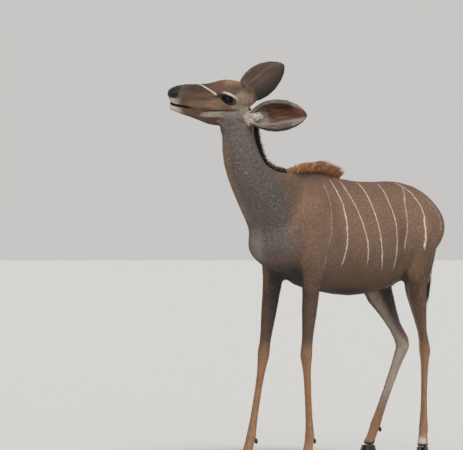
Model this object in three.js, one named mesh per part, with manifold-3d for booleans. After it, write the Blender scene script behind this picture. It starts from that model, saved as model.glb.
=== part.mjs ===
// Greater kudu: a life-size model of a hornless female, standing with her head raised to browse.
// Millimetres. +Z is up, the body faces -Y, its left side is +X, and the ground is Z = 0.
// The head is turned to her right and tipped a little, with its left side and top towards the viewer.

import * as THREE from 'three';
import { mergeVertices } from 'three/addons/utils/BufferGeometryUtils.js';
import Module from 'manifold-3d';

const wasm = await Module();
wasm.setup();

// Driving sizes of the animal
const WITHERS_HEIGHT = 1196;
const CROUP_HEIGHT = 1162;
const BACK_DIP = 42;
const BELLY_HEIGHT = 682;
const TRUNK_FRONT = -750;
const TRUNK_REAR = 545;
const CHEST_HALF_WIDTH = 132;
const BARREL_HALF_WIDTH = 172;
const HEAD_LENGTH = 350;
const EAR_LENGTH = 232;
const EAR_THICKNESS = 4.5;
const EYE_RADIUS = 20;
const TAIL_LENGTH = 400;
const HOOF_HEIGHT = 50;
const MANE_LENGTH = 46;
const CREST_LENGTH = 84;

// The clearance that pieces keep where they meet
const GAP = 0.3;

const UP = new THREE.Vector3(0, 0, 1);

// Where the head is held: the tip of the nose, the way it points, and how far it tips to the viewer
const NOSE_TIP = new THREE.Vector3(-240, -1006, 1486);
const POLL_TURN = THREE.MathUtils.degToRad(38.4);
const HEAD_ROLL = THREE.MathUtils.degToRad(22);

// Colours and finishes, all after the living animal
const COATS = {
  coat: { color: 0x7d6250, roughness: 0.85 },
  horn: { color: 0x2a211c, roughness: 0.45 },
  eye: { color: 0x120c09, roughness: 0.08 },
};

// Joints of each leg, from the top down, as [x, y, z]
const FORE_LEFT = {
  blade: [38, -400, 1086], shoulder: [78, -500, 930], elbow: [90, -492, 770],
  knee: [88, -528, 452], fetlock: [88, -504, 128], coronet: [90, -527, HOOF_HEIGHT],
};
const FORE_RIGHT = {
  blade: [-38, -400, 1086], shoulder: [-78, -506, 930], elbow: [-90, -500, 770],
  knee: [-98, -556, 452], fetlock: [-102, -640, 128], coronet: [-104, -670, HOOF_HEIGHT],
};
const HIND_LEFT = {
  hip: [66, 350, 1030], thigh: [98, 326, 870], stifle: [116, 240, 730],
  hock: [104, 336, 452], fetlock: [106, 322, 128], coronet: [116, 298, HOOF_HEIGHT],
};
const HIND_RIGHT = {
  hip: [-66, 350, 1030], thigh: [-98, 340, 870], stifle: [-116, 292, 730],
  hock: [-96, 482, 466], fetlock: [-128, 312, 128], coronet: [-134, 272, HOOF_HEIGHT],
};

// How far each foot turns out from straight ahead, in degrees, positive to the left
const HEADING = { foreLeft: 8, foreRight: -4, hindLeft: 32, hindRight: -8 };

// Cross-sections down a leg: joint above, joint below, share of the way, half width, front, back
const FORE_SECTIONS = [
  ['blade', 'shoulder', 0, 16, 40, 44],
  ['blade', 'shoulder', 0.4, 40, 84, 94],
  ['blade', 'shoulder', 0.85, 46, 82, 102],
  ['shoulder', 'elbow', 0.35, 46, 70, 92],
  ['shoulder', 'elbow', 0.8, 42, 58, 68],
  ['elbow', 'knee', 0.12, 36, 44, 46],
  ['elbow', 'knee', 0.45, 30, 34, 36],
  ['elbow', 'knee', 0.78, 22, 24, 25],
  ['elbow', 'knee', 0.92, 24, 26, 23],
  ['elbow', 'knee', 1, 25, 26, 23],
  ['knee', 'fetlock', 0.1, 20, 20, 21],
  ['knee', 'fetlock', 0.3, 15, 15, 18],
  ['knee', 'fetlock', 0.65, 14, 15, 18],
  ['knee', 'fetlock', 0.88, 16, 17, 21],
  ['knee', 'fetlock', 1, 20, 20, 25],
  ['fetlock', 'coronet', 0.4, 19, 17, 19],
  ['fetlock', 'coronet', 1, 25, 25, 24],
];
const HIND_SECTIONS = [
  ['hip', 'thigh', 0, 34, 60, 64],
  ['hip', 'thigh', 0.4, 56, 126, 124],
  ['hip', 'thigh', 0.85, 64, 150, 146],
  ['thigh', 'stifle', 0.2, 60, 136, 140],
  ['thigh', 'stifle', 0.6, 54, 108, 124],
  ['thigh', 'stifle', 0.98, 50, 86, 104],
  ['stifle', 'hock', 0.25, 40, 62, 70],
  ['stifle', 'hock', 0.5, 28, 42, 47],
  ['stifle', 'hock', 0.76, 19, 30, 34],
  ['stifle', 'hock', 0.93, 23, 32, 42],
  ['hock', 'fetlock', 0.03, 24, 31, 40],
  ['hock', 'fetlock', 0.14, 18, 27, 31],
  ['hock', 'fetlock', 0.35, 14, 24, 27],
  ['hock', 'fetlock', 0.7, 13.5, 22, 25],
  ['hock', 'fetlock', 0.9, 17, 22, 25],
  ['hock', 'fetlock', 1, 20, 23, 28],
  ['fetlock', 'coronet', 0.4, 19, 18, 20],
  ['fetlock', 'coronet', 1, 25, 25, 24],
];

// A seeded draw between 0 and 1, so that the coat comes out the same each time
function makeDraw(seed) {
  let state = seed;
  return () => {
    state = (Math.imul(state, 1664525) + 1013904223) >>> 0;
    return state / 4294967296;
  };
}

// A geometry from points and triangles
function closedGeometry(points, triangles) {
  const geometry = new THREE.BufferGeometry().setFromPoints(points);
  geometry.setIndex(triangles);
  return geometry;
}

// Six times the volume inside a closed mesh, negative where its faces point in
function signedVolume(place, triangles) {
  const corner = (i) => new THREE.Vector3().fromArray(place, 3 * triangles[i]);
  let volume = 0;
  for (let i = 0; i < triangles.length; i += 3) {
    volume += corner(i).dot(corner(i + 1).cross(corner(i + 2)));
  }
  return volume;
}

// A geometry as a solid for joining and cutting, turned so that its faces point out
function solid(geometry) {
  const bare = geometry.clone();
  bare.deleteAttribute('normal');
  bare.deleteAttribute('uv');
  const merged = mergeVertices(bare, 1e-4);
  const vertProperties = new Float32Array(merged.attributes.position.array);
  const triVerts = new Uint32Array(merged.index.array);
  if (signedVolume(vertProperties, triVerts) < 0) {
    triVerts.reverse();
  }
  return new wasm.Manifold(new wasm.Mesh({ numProp: 3, vertProperties, triVerts }));
}

const join = (pieces) => pieces.reduce((whole, piece) => whole.add(piece));

// The largest closed surface of a solid, without loose scraps
function largest(body) {
  const parts = body.decompose();
  return parts.reduce((best, part) => (part.volume() > best.volume() ? part : best));
}

// A smooth value between four neighbours, and the same for a whole station with its place
function blend(a, b, c, d, t) {
  return b + 0.5 * t * (c - a + t * (2 * a - 5 * b + 4 * c - d + t * (3 * (b - c) + d - a)));
}

function stationAt(stations, t) {
  const last = stations.length - 1;
  const place = Math.min(Math.max(t, 0), 1) * last;
  const i = Math.min(Math.floor(place), last - 1);
  const near = [i - 1, i, i + 1, i + 2].map((k) => stations[Math.min(Math.max(k, 0), last)]);
  const value = (key) => blend(...near.map((s) => s[key]), place - i);
  const at = (axis) => blend(...near.map((s) => s.at[axis]), place - i);
  return {
    at: new THREE.Vector3(at(0), at(1), at(2)),
    across: value('across'), up: value('up'), down: value('down'),
    pinch: value('pinch'), twist: value('twist'),
  };
}

// A station: its centre, half width, height above and below the centre, how far its top narrows,
// and how many degrees it is turned to the animal's right
const station = (at, across, up, down, pinch = 0, twist = 0) => ({ at, across, up, down, pinch, twist });

// The frame at a share t along stations: spine direction, the way across and the way up
function frameAt(stations, t, side) {
  const step = 0.004;
  const here = stationAt(stations, t);
  const ahead = stationAt(stations, t + step).at.sub(stationAt(stations, t - step).at).normalize();
  const turned = side.clone().applyAxisAngle(UP, THREE.MathUtils.degToRad(-here.twist));
  const up = new THREE.Vector3().crossVectors(ahead, turned).normalize();
  const across = new THREE.Vector3().crossVectors(up, ahead).normalize();
  return { ...here, ahead, acrossWay: across, upWay: up };
}

// A point on a loft's surface at a share t and an angle round its spine, 90 degrees being the top
function loftPoint(stations, t, angle, side, grow = 0) {
  const frame = frameAt(stations, t, side);
  const [c, s] = [Math.cos(angle), Math.sin(angle)];
  const narrow = s > 0 ? 1 - frame.pinch * s * s : 1;
  const height = (s > 0 ? frame.up : frame.down) + grow;
  return frame.at.clone()
    .addScaledVector(frame.acrossWay, (frame.across + grow) * c * narrow)
    .addScaledVector(frame.upWay, height * s);
}

// A closed loft over stations, with flat ends
function loft(stations, sides, rings, side = new THREE.Vector3(1, 0, 0), grow = 0) {
  const points = [];
  const triangles = [];
  for (let r = 0; r <= rings; r += 1) {
    for (let k = 0; k < sides; k += 1) {
      points.push(loftPoint(stations, r / rings, (2 * Math.PI * k) / sides, side, grow));
    }
  }
  for (let r = 0; r < rings; r += 1) {
    for (let k = 0; k < sides; k += 1) {
      const [a, b] = [r * sides + k, r * sides + ((k + 1) % sides)];
      triangles.push(a, b, a + sides, b, b + sides, a + sides);
    }
  }
  const ends = [[0, stationAt(stations, 0).at, false], [rings * sides, stationAt(stations, 1).at, true]];
  for (const [first, centre, far] of ends) {
    points.push(centre);
    for (let k = 0; k < sides; k += 1) {
      const [a, b] = [first + k, first + ((k + 1) % sides)];
      triangles.push(...(far ? [a, b, points.length - 1] : [b, a, points.length - 1]));
    }
  }
  return solid(closedGeometry(points, triangles));
}

// A ball stretched along three axes, turned by a matrix of those axes and set at a centre
function ellipsoid(centre, radii, axes, columns = 14, rows = 9) {
  const ball = new THREE.SphereGeometry(1, columns, rows);
  const turn = new THREE.Matrix4().makeBasis(axes[0], axes[1], axes[2]);
  const size = new THREE.Matrix4().makeScale(radii[0], radii[1], radii[2]);
  ball.applyMatrix4(turn.multiply(size));
  ball.translate(centre.x, centre.y, centre.z);
  return solid(ball);
}

// A block given by its centre, its axes and its half sizes along them
function block(centre, halves, axes) {
  const box = new THREE.BoxGeometry(2 * halves[0], 2 * halves[1], 2 * halves[2]);
  box.applyMatrix4(new THREE.Matrix4().makeBasis(axes[0], axes[1], axes[2]));
  box.translate(centre.x, centre.y, centre.z);
  return solid(box);
}

// Trunk, from the buttocks forward to the breast
const trunkStation = (y, top, bottom, half, pinch) => {
  const waist = bottom + (top - bottom) * 0.46;
  return station([0, y, waist], half, top - waist, waist - bottom, pinch);
};
const TRUNK = [
  trunkStation(TRUNK_REAR, 1030, 940, 48, 0.1),
  trunkStation(TRUNK_REAR - 20, 1074, 890, 88, 0.2),
  trunkStation(460, 1118, 836, 122, 0.3),
  trunkStation(360, CROUP_HEIGHT - 14, 790, 148, 0.3),
  trunkStation(250, CROUP_HEIGHT, 742, 162, 0.28),
  trunkStation(110, WITHERS_HEIGHT - BACK_DIP, 700, BARREL_HALF_WIDTH - 4, 0.28),
  trunkStation(-40, WITHERS_HEIGHT - BACK_DIP, BELLY_HEIGHT, BARREL_HALF_WIDTH, 0.3),
  trunkStation(-180, WITHERS_HEIGHT - 30, BELLY_HEIGHT + 6, BARREL_HALF_WIDTH - 8, 0.38),
  trunkStation(-310, WITHERS_HEIGHT - 6, BELLY_HEIGHT + 22, BARREL_HALF_WIDTH - 22, 0.5),
  trunkStation(-420, WITHERS_HEIGHT, BELLY_HEIGHT + 40, CHEST_HALF_WIDTH + 4, 0.56),
  trunkStation(-520, 1160, BELLY_HEIGHT + 66, CHEST_HALF_WIDTH - 8, 0.5),
  trunkStation(-600, 1070, BELLY_HEIGHT + 92, CHEST_HALF_WIDTH - 26, 0.4),
  trunkStation(-672, 1010, BELLY_HEIGHT + 116, 90, 0.3),
  trunkStation(-724, 950, BELLY_HEIGHT + 142, 62, 0.2),
  trunkStation(TRUNK_FRONT, 900, BELLY_HEIGHT + 176, 22, 0.1),
];

// Neck, from inside the breast up to the back of the skull; each entry pairs throat and nape (y, z)
const neckStation = (x, throat, nape, half, pinch, twist = 0) => {
  const centre = [x, (throat[0] + nape[0]) / 2, (throat[1] + nape[1]) / 2];
  const depth = Math.hypot(throat[0] - nape[0], throat[1] - nape[1]) / 2;
  return station(centre, half, depth, depth, pinch, twist);
};
const NECK = [
  neckStation(0, [-600, 790], [-330, 1120], 52, 0.5),
  neckStation(0, [-700, 852], [-404, 1172], 82, 0.5),
  neckStation(0, [-768, 930], [-516, 1178], 96, 0.45),
  neckStation(0, [-806, 1004], [-614, 1180], 90, 0.4),
  neckStation(-2, [-852, 1076], [-690, 1200], 79, 0.35, 3),
  neckStation(-9, [-888, 1148], [-728, 1233], 70, 0.3, 10),
  neckStation(-22, [-898, 1216], [-743, 1276], 62, 0.3, 20),
  neckStation(-40, [-878, 1288], [-742, 1324], 60, 0.3, 30),
  neckStation(-62, [-860, 1346], [-728, 1382], 58, 0.25, 36),
  neckStation(-84, [-824, 1402], [-720, 1434], 53, 0.2, 38),
  neckStation(-92, [-796, 1436], [-736, 1456], 32, 0.1, 38),
];

// Head frame: back runs from the nose to the poll, side to her left, up to the forehead
const HEAD_BACK = new THREE.Vector3(Math.sin(POLL_TURN), Math.cos(POLL_TURN), 0);
const LEVEL_SIDE = new THREE.Vector3(Math.cos(POLL_TURN), -Math.sin(POLL_TURN), 0);
const HEAD_SIDE = LEVEL_SIDE.clone().multiplyScalar(Math.cos(HEAD_ROLL))
  .addScaledVector(new THREE.Vector3(0, 0, 1), -Math.sin(HEAD_ROLL));
const HEAD_UP = LEVEL_SIDE.clone().multiplyScalar(Math.sin(HEAD_ROLL))
  .addScaledVector(new THREE.Vector3(0, 0, 1), Math.cos(HEAD_ROLL));

const headPoint = (back, side, up) => NOSE_TIP.clone()
  .addScaledVector(HEAD_BACK, back).addScaledVector(HEAD_SIDE, side).addScaledVector(HEAD_UP, up);
const headWay = (back, side, up) => new THREE.Vector3()
  .addScaledVector(HEAD_BACK, back).addScaledVector(HEAD_SIDE, side).addScaledVector(HEAD_UP, up)
  .normalize();
const headStation = (back, level, across, up, down, pinch) => (
  station(headPoint(back, 0, level).toArray(), across, up, down, pinch));

// Skull and upper jaw, from the poll to the tip of the nose
const SKULL = [
  headStation(HEAD_LENGTH, -42, 38, 38, 42, 0.1),
  headStation(318, -32, 50, 64, 68, 0.15),
  headStation(278, -26, 57, 77, 86, 0.2),
  headStation(240, -22, 58, 79, 92, 0.22),
  headStation(204, -18, 52, 74, 92, 0.25),
  headStation(165, -14, 42, 56, 76, 0.3),
  headStation(122, -12, 33, 50, 58, 0.3),
  headStation(86, -10, 29, 47, 46, 0.25),
  headStation(50, -8, 30, 42, 40, 0.1),
  headStation(24, -6, 30, 31, 37, 0.05),
  headStation(8, -7, 23, 20, 29, 0),
  headStation(0, -9, 13, 10, 16, 0),
];

// Lower jaw, from its angle to the chin
const JAW = [
  headStation(290, -80, 36, 30, 40, 0),
  headStation(245, -86, 40, 40, 52, 0),
  headStation(195, -92, 36, 40, 42, 0),
  headStation(145, -84, 28, 36, 32, 0),
  headStation(100, -76, 22, 22, 24, 0),
  headStation(62, -70, 20, 17, 18, 0),
  headStation(32, -62, 20, 14, 15, 0),
  headStation(12, -58, 15, 11, 11, 0),
];

// Eyes: their place in the head and the way they look
const EYE_BACK = 231;
const EYE_SIDE = 45;
const EYE_UP = -6;
const LID_RADIUS = EYE_RADIUS + 3.4;
const OPENING = [18.5, 11, 25];
const eyeCentre = (turn) => headPoint(EYE_BACK, turn * EYE_SIDE, EYE_UP);

function eyeAxes(turn) {
  const look = headWay(-0.3, turn * 0.92, 0.12);
  const along = headWay(0.95, turn * 0.3, -0.28);
  along.addScaledVector(look, -along.dot(look)).normalize();
  return [along, new THREE.Vector3().crossVectors(look, along), look];
}

const eyeball = (turn, grow = 0) => {
  const radius = EYE_RADIUS + grow;
  return ellipsoid(eyeCentre(turn), [radius, radius, radius], eyeAxes(turn), 14, 9);
};

// The head in one piece: skull, jaw, lids round open sockets, nostrils and the line of the mouth
function headSolid() {
  let head = loft(SKULL, 20, 17, HEAD_SIDE).add(loft(JAW, 12, 9, HEAD_SIDE));
  for (const turn of [1, -1]) {
    const axes = eyeAxes(turn);
    const lids = ellipsoid(eyeCentre(turn), [LID_RADIUS * 1.14, LID_RADIUS, LID_RADIUS], axes, 16, 9);
    const opening = ellipsoid(eyeCentre(turn).addScaledVector(axes[2], 16), OPENING, axes, 12, 6);
    head = head.add(lids).subtract(opening).subtract(eyeball(turn, GAP));
    const slit = [headWay(0.8, turn * 0.3, 0.5), headWay(-0.5, 0, 0.86), headWay(-0.3, turn, 0)];
    slit[1].crossVectors(slit[2], slit[0]).normalize();
    slit[0].crossVectors(slit[1], slit[2]).normalize();
    head = head.subtract(ellipsoid(headPoint(20, turn * 27, 3), [12, 5.5, 9], slit, 12, 8));
    const groove = ellipsoid(headPoint(76, turn * 29, -54), [24, 8, 1.6], [HEAD_BACK, HEAD_SIDE, HEAD_UP], 10, 5);
    head = head.subtract(groove);
  }
  return head;
}

// Ears: leaf-shaped cups on a rolled base; share of the length, radius and half angle of the cup
const EAR_SECTIONS = [
  [0, 21, 152], [0.1, 32, 128], [0.22, 46, 100], [0.36, 60, 80], [0.52, 70, 66],
  [0.68, 72, 55], [0.83, 66, 42], [0.93, 56, 29], [0.98, 46, 17], [1, 40, 6],
];
const EAR_ROOT = { back: 328, side: 50 };
const EARS = {
  ear_left: { turn: 1, rise: -92, along: [0.86, 0.45, 0.26], open: [-0.67, 0.58, 0.4] },
  ear_right: { turn: -1, rise: -30, along: [0.79, -0.46, 0.42], open: [-0.3, -0.73, -0.46] },
};

function earAxes({ along, open }) {
  const length = headWay(...along);
  const face = headWay(...open);
  face.addScaledVector(length, -face.dot(length)).normalize();
  return { length, face, width: new THREE.Vector3().crossVectors(length, face) };
}

function earSolid(ear, grow = 0, steps = 5) {
  const { length, face, width } = earAxes(ear);
  const root = headPoint(EAR_ROOT.back, ear.turn * EAR_ROOT.side, ear.rise);
  const points = [];
  const triangles = [];
  const count = 4 * steps;
  for (const [share, radius, degrees] of EAR_SECTIONS) {
    const half = THREE.MathUtils.degToRad(degrees) + grow / radius;
    const wall = EAR_THICKNESS * (1 - 0.55 * share);
    const centre = root.clone().addScaledVector(length, share * EAR_LENGTH).addScaledVector(face, radius);
    for (let k = 0; k < count; k += 1) {
      const inner = k >= 2 * steps;
      const turn = half * (inner ? 3 - k / steps : k / steps - 1);
      const edge = Math.abs(turn) / half > 0.999 ? 0.35 : 1;
      const reach = radius - (inner ? grow + wall * 0.5 * (1 + edge) : wall * 0.5 * (1 - edge) - grow);
      points.push(centre.clone().addScaledVector(width, reach * Math.sin(turn))
        .addScaledVector(face, -reach * Math.cos(turn)));
    }
  }
  const last = EAR_SECTIONS.length - 1;
  for (let r = 0; r < last; r += 1) {
    for (let k = 0; k < count; k += 1) {
      const [a, b] = [r * count + k, r * count + ((k + 1) % count)];
      triangles.push(a, b, a + count, b, b + count, a + count);
    }
  }
  for (const [row, far] of [[0, false], [last, true]]) {
    for (let k = 0; k < 2 * steps; k += 1) {
      const [a, b] = [row * count + k, row * count + k + 1];
      const [c, d] = [row * count + ((count - k) % count), row * count + ((count - k - 1) % count)];
      const faces = [[a, c, b], [b, c, d]].filter((f) => new Set(f).size === 3);
      faces.forEach((f) => triangles.push(...(far ? f.reverse() : f)));
    }
  }
  return solid(closedGeometry(points, triangles));
}

// The fleshy base of an ear, grown by the clearance where the head is cut for it
function earBase(ear, grow = 0) {
  const { length, face, width } = earAxes(ear);
  const centre = headPoint(EAR_ROOT.back, ear.turn * EAR_ROOT.side, ear.rise)
    .addScaledVector(face, 22).addScaledVector(length, -6);
  return ellipsoid(centre, [46 + grow, 32 + grow, 30 + grow], [length, width, face], 10, 6);
}

// Legs
function legStations(joints, sections) {
  return sections.map(([above, below, share, across, front, back]) => {
    const place = [0, 1, 2].map((i) => joints[above][i] + share * (joints[below][i] - joints[above][i]));
    return station(place, across, front, back);
  });
}

const headingSide = (degrees) => {
  const turn = THREE.MathUtils.degToRad(degrees);
  return new THREE.Vector3(Math.cos(turn), Math.sin(turn), 0);
};
const headingAhead = (degrees) => {
  const side = headingSide(degrees);
  return new THREE.Vector3(side.y, -side.x, 0);
};

const LEGS = {
  foreleg_left: { joints: FORE_LEFT, sections: FORE_SECTIONS, heading: HEADING.foreLeft, turn: 1 },
  foreleg_right: { joints: FORE_RIGHT, sections: FORE_SECTIONS, heading: HEADING.foreRight, turn: -1 },
  hindleg_left: { joints: HIND_LEFT, sections: HIND_SECTIONS, heading: HEADING.hindLeft, turn: 1 },
  hindleg_right: { joints: HIND_RIGHT, sections: HIND_SECTIONS, heading: HEADING.hindRight, turn: -1 },
};

function legSolid(leg, grow = 0) {
  const stations = legStations(leg.joints, leg.sections);
  const limb = loft(stations, 12, 24, headingSide(leg.heading), grow);
  const foot = new THREE.Vector3(...leg.joints.coronet);
  const ahead = headingAhead(leg.heading);
  const centre = foot.clone().addScaledVector(UP, -HOOF_HEIGHT);
  const below = block(centre, [90, 90, HOOF_HEIGHT], [headingSide(leg.heading), ahead, UP]);
  return limb.subtract(below);
}

// A hoof is two claws; each is a half loft with a blunt toe and a flat sole
const CLAW = [
  { up: HOOF_HEIGHT - GAP, toe: 24, heel: -22, wide: 21 },
  { up: HOOF_HEIGHT * 0.5, toe: 36, heel: -29, wide: 24.5 },
  { up: 8, toe: 45, heel: -32, wide: 25.5 },
  { up: 0, toe: 46, heel: -32, wide: 25.5 },
];
const CLEFT = 1.6;

function clawSolid(leg, outer) {
  const across = headingSide(leg.heading).multiplyScalar(outer);
  const ahead = headingAhead(leg.heading);
  const foot = new THREE.Vector3(...leg.joints.coronet).setZ(0);
  const sides = 12;
  const points = [];
  const triangles = [];
  for (const { up, toe, heel, wide } of CLAW) {
    for (let k = 0; k < sides; k += 1) {
      const angle = (2 * Math.PI * k) / sides;
      const [c, s] = [Math.cos(angle), Math.sin(angle)];
      const length = s > 0 ? toe : -heel;
      const middle = CLEFT + wide / 2;
      const inward = c < 0 ? 1 : 1 - 0.25 * Math.max(s, 0);
      points.push(foot.clone().addScaledVector(UP, up)
        .addScaledVector(across, middle + (wide / 2) * Math.sign(c) * Math.abs(c) ** 0.7 * inward)
        .addScaledVector(ahead, length * Math.sign(s) * Math.abs(s) ** 0.9));
    }
  }
  for (let r = 0; r < CLAW.length - 1; r += 1) {
    for (let k = 0; k < sides; k += 1) {
      const [a, b] = [r * sides + k, r * sides + ((k + 1) % sides)];
      triangles.push(a, b, a + sides, b, b + sides, a + sides);
    }
  }
  const base = (CLAW.length - 1) * sides;
  for (let k = 1; k < sides - 1; k += 1) {
    triangles.push(0, k + 1, k, base, base + k, base + k + 1);
  }
  return solid(closedGeometry(points, triangles));
}

// Dew claws behind each fetlock
function dewclaw(leg, outer, grow = 0) {
  const side = headingSide(leg.heading).multiplyScalar(outer);
  const ahead = headingAhead(leg.heading);
  const down = new THREE.Vector3(0, 0, -1).addScaledVector(ahead, -0.35).normalize();
  const out = new THREE.Vector3().crossVectors(down, side).normalize();
  const centre = new THREE.Vector3(...leg.joints.fetlock).addScaledVector(side, 12)
    .addScaledVector(ahead, -19).addScaledVector(UP, -14);
  return ellipsoid(centre, [7 + grow, 7.5 + grow, 13 + grow], [side, out, down], 8, 5);
}

// Tail, hanging between the buttocks
const TAIL_ROOT = [0, 496, 1066];
const TAIL = [
  station(TAIL_ROOT, 26, 20, 20),
  station([0, 540, 1050], 25, 18, 18),
  station([0, 558, 998], 21, 14, 14),
  station([0, 548, 910], 17, 11, 12),
  station([0, 526, 810], 13, 9, 10),
  station([0, 512, TAIL_ROOT[2] - 0.8 * TAIL_LENGTH], 6, 5, 5),
];
const tailCore = (grow = 0) => loft(TAIL, 12, 14, new THREE.Vector3(1, 0, 0), grow);

// One lock: a flat strip that tapers to a point and bends from the way it stands to the way it lies
function lock({ root, stand, lie, length, width, thick, sink }) {
  const cuts = [0, 0.34, 0.68];
  const points = [];
  const triangles = [];
  const place = root.clone().addScaledVector(stand, -sink);
  const whole = length + sink;
  let walked = 0;
  for (const cut of [...cuts, 1]) {
    const way = stand.clone().lerp(lie, cut).normalize();
    place.addScaledVector(way, (cut - walked) * whole);
    walked = cut;
    if (cut === 1) {
      points.push(place.clone());
      break;
    }
    const across = new THREE.Vector3().crossVectors(stand, lie).normalize();
    const out = new THREE.Vector3().crossVectors(across, way).normalize();
    const taper = 1 - 0.62 * cut;
    points.push(
      place.clone().addScaledVector(across, width * 0.5 * taper),
      place.clone().addScaledVector(out, thick * 0.5 * taper),
      place.clone().addScaledVector(across, -width * 0.5 * taper),
      place.clone().addScaledVector(out, -thick * 0.5 * taper),
    );
  }
  for (let r = 0; r < cuts.length - 1; r += 1) {
    for (let k = 0; k < 4; k += 1) {
      const [a, b] = [4 * r + k, 4 * r + ((k + 1) % 4)];
      triangles.push(a, b, a + 4, b, b + 4, a + 4);
    }
  }
  const [end, tip] = [4 * (cuts.length - 1), 4 * cuts.length];
  for (let k = 0; k < 4; k += 1) {
    triangles.push(end + k, end + ((k + 1) % 4), tip);
  }
  triangles.push(0, 2, 1, 0, 3, 2);
  return solid(closedGeometry(points, triangles));
}

// Mane along the nape: rows of short locks from behind the ears down to the withers
function maneLocks() {
  const draw = makeDraw(11);
  const locks = [];
  const rows = 19;
  for (let row = 0; row < rows; row += 1) {
    const t = 0.88 - (0.62 * row) / (rows - 1);
    for (const lean of [-1, 1]) {
      const angle = Math.PI / 2 + lean * (0.05 + 0.09 * draw());
      const root = loftPoint(NECK, t, angle, new THREE.Vector3(1, 0, 0));
      const frame = frameAt(NECK, t, new THREE.Vector3(1, 0, 0));
      const stand = frame.upWay.clone().addScaledVector(frame.ahead, -0.35)
        .addScaledVector(frame.acrossWay, -lean * 0.14).normalize();
      const lie = frame.upWay.clone().multiplyScalar(0.62).addScaledVector(frame.ahead, -0.9)
        .addScaledVector(frame.acrossWay, 0.3 * (draw() - 0.5)).normalize();
      locks.push(lock({
        root, stand, lie, length: MANE_LENGTH * (0.8 + 0.35 * draw()), width: 25, thick: 8, sink: 13,
      }));
    }
  }
  return locks;
}

// Crest over the withers: longer locks that stand up and lean back
function crestLocks() {
  const draw = makeDraw(29);
  const locks = [];
  const rows = 13;
  const [front, rear] = [0.75, 0.55];
  for (let row = 0; row < rows; row += 1) {
    const share = row / (rows - 1);
    const t = front + (rear - front) * share;
    const swell = Math.sin(Math.PI * (0.12 + 0.8 * share)) ** 0.8;
    for (const lean of [-1, 0, 1]) {
      const angle = Math.PI / 2 - lean * (0.16 + 0.05 * draw());
      const root = loftPoint(TRUNK, t, angle, new THREE.Vector3(1, 0, 0));
      const stand = new THREE.Vector3(0.22 * lean, 0.35, 1).normalize();
      const lie = new THREE.Vector3(0.12 * lean + 0.2 * (draw() - 0.5), 1, 0.42).normalize();
      const length = CREST_LENGTH * swell * (lean ? 0.78 : 1) * (0.88 + 0.22 * draw());
      locks.push(lock({ root, stand, lie, length, width: 24, thick: 9, sink: 14 }));
    }
  }
  return locks;
}

// Long hair of the tail, fuller to the tip
function tailLocks() {
  const draw = makeDraw(43);
  const locks = [];
  const side = new THREE.Vector3(1, 0, 0);
  for (let row = 0; row < 6; row += 1) {
    const t = 0.42 + (0.54 * row) / 5;
    for (let k = 0; k < 3; k += 1) {
      const angle = ((2 * Math.PI) / 3) * (k + 0.5 * (row % 2)) + 0.2 * draw();
      const root = loftPoint(TAIL, t, angle, side);
      const frame = frameAt(TAIL, t, side);
      const outward = root.clone().sub(frame.at).normalize();
      const stand = frame.ahead.clone().addScaledVector(outward, 0.5).normalize();
      const lie = frame.ahead.clone().addScaledVector(outward, -0.06).normalize();
      locks.push(lock({
        root, stand, lie, length: 92 + 26 * draw(), width: 20, thick: 7, sink: 7,
      }));
    }
  }
  return locks;
}

// Cutting planes where the named parts meet, each a block with its top or rear face on the plane
const tilted = (degrees) => {
  const turn = THREE.MathUtils.degToRad(degrees);
  return [
    new THREE.Vector3(1, 0, 0),
    new THREE.Vector3(0, Math.cos(turn), Math.sin(turn)),
    new THREE.Vector3(0, -Math.sin(turn), Math.cos(turn)),
  ];
};
const FORE_CUT = { z: 772, inner: 46 };
const HIND_CUT = { y: 80, z: 706, slope: 23 };
const NECK_CUT = { at: [0, -560, 1040], slope: 58 };
const HEAD_CUT = { at: [-60, -800, 1366], slope: 8 };

function foreBlock(turn, grow = 0) {
  const [inner, outer] = [FORE_CUT.inner - grow, 320];
  const centre = new THREE.Vector3((turn * (inner + outer)) / 2, -500, (FORE_CUT.z + grow) / 2);
  return block(centre, [(outer - inner) / 2, 330, (FORE_CUT.z + grow) / 2], tilted(0));
}

function hindBlock(turn, grow = 0) {
  const axes = tilted(HIND_CUT.slope);
  const [inner, outer] = [GAP / 2 - grow, 320];
  const [length, depth] = [1200, 1400];
  const centre = new THREE.Vector3((turn * (inner + outer)) / 2, HIND_CUT.y, HIND_CUT.z)
    .addScaledVector(axes[1], length / 2 - 120).addScaledVector(axes[2], grow - depth / 2);
  return block(centre, [(outer - inner) / 2, length / 2, depth / 2], axes);
}

function neckBlock(cut, grow = 0) {
  const axes = tilted(cut.slope);
  const [width, length, depth] = [700, 520, 900];
  const centre = new THREE.Vector3(...cut.at).addScaledVector(axes[2], depth / 2 - grow);
  return block(centre, [width / 2, length / 2, depth / 2], axes);
}

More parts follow.
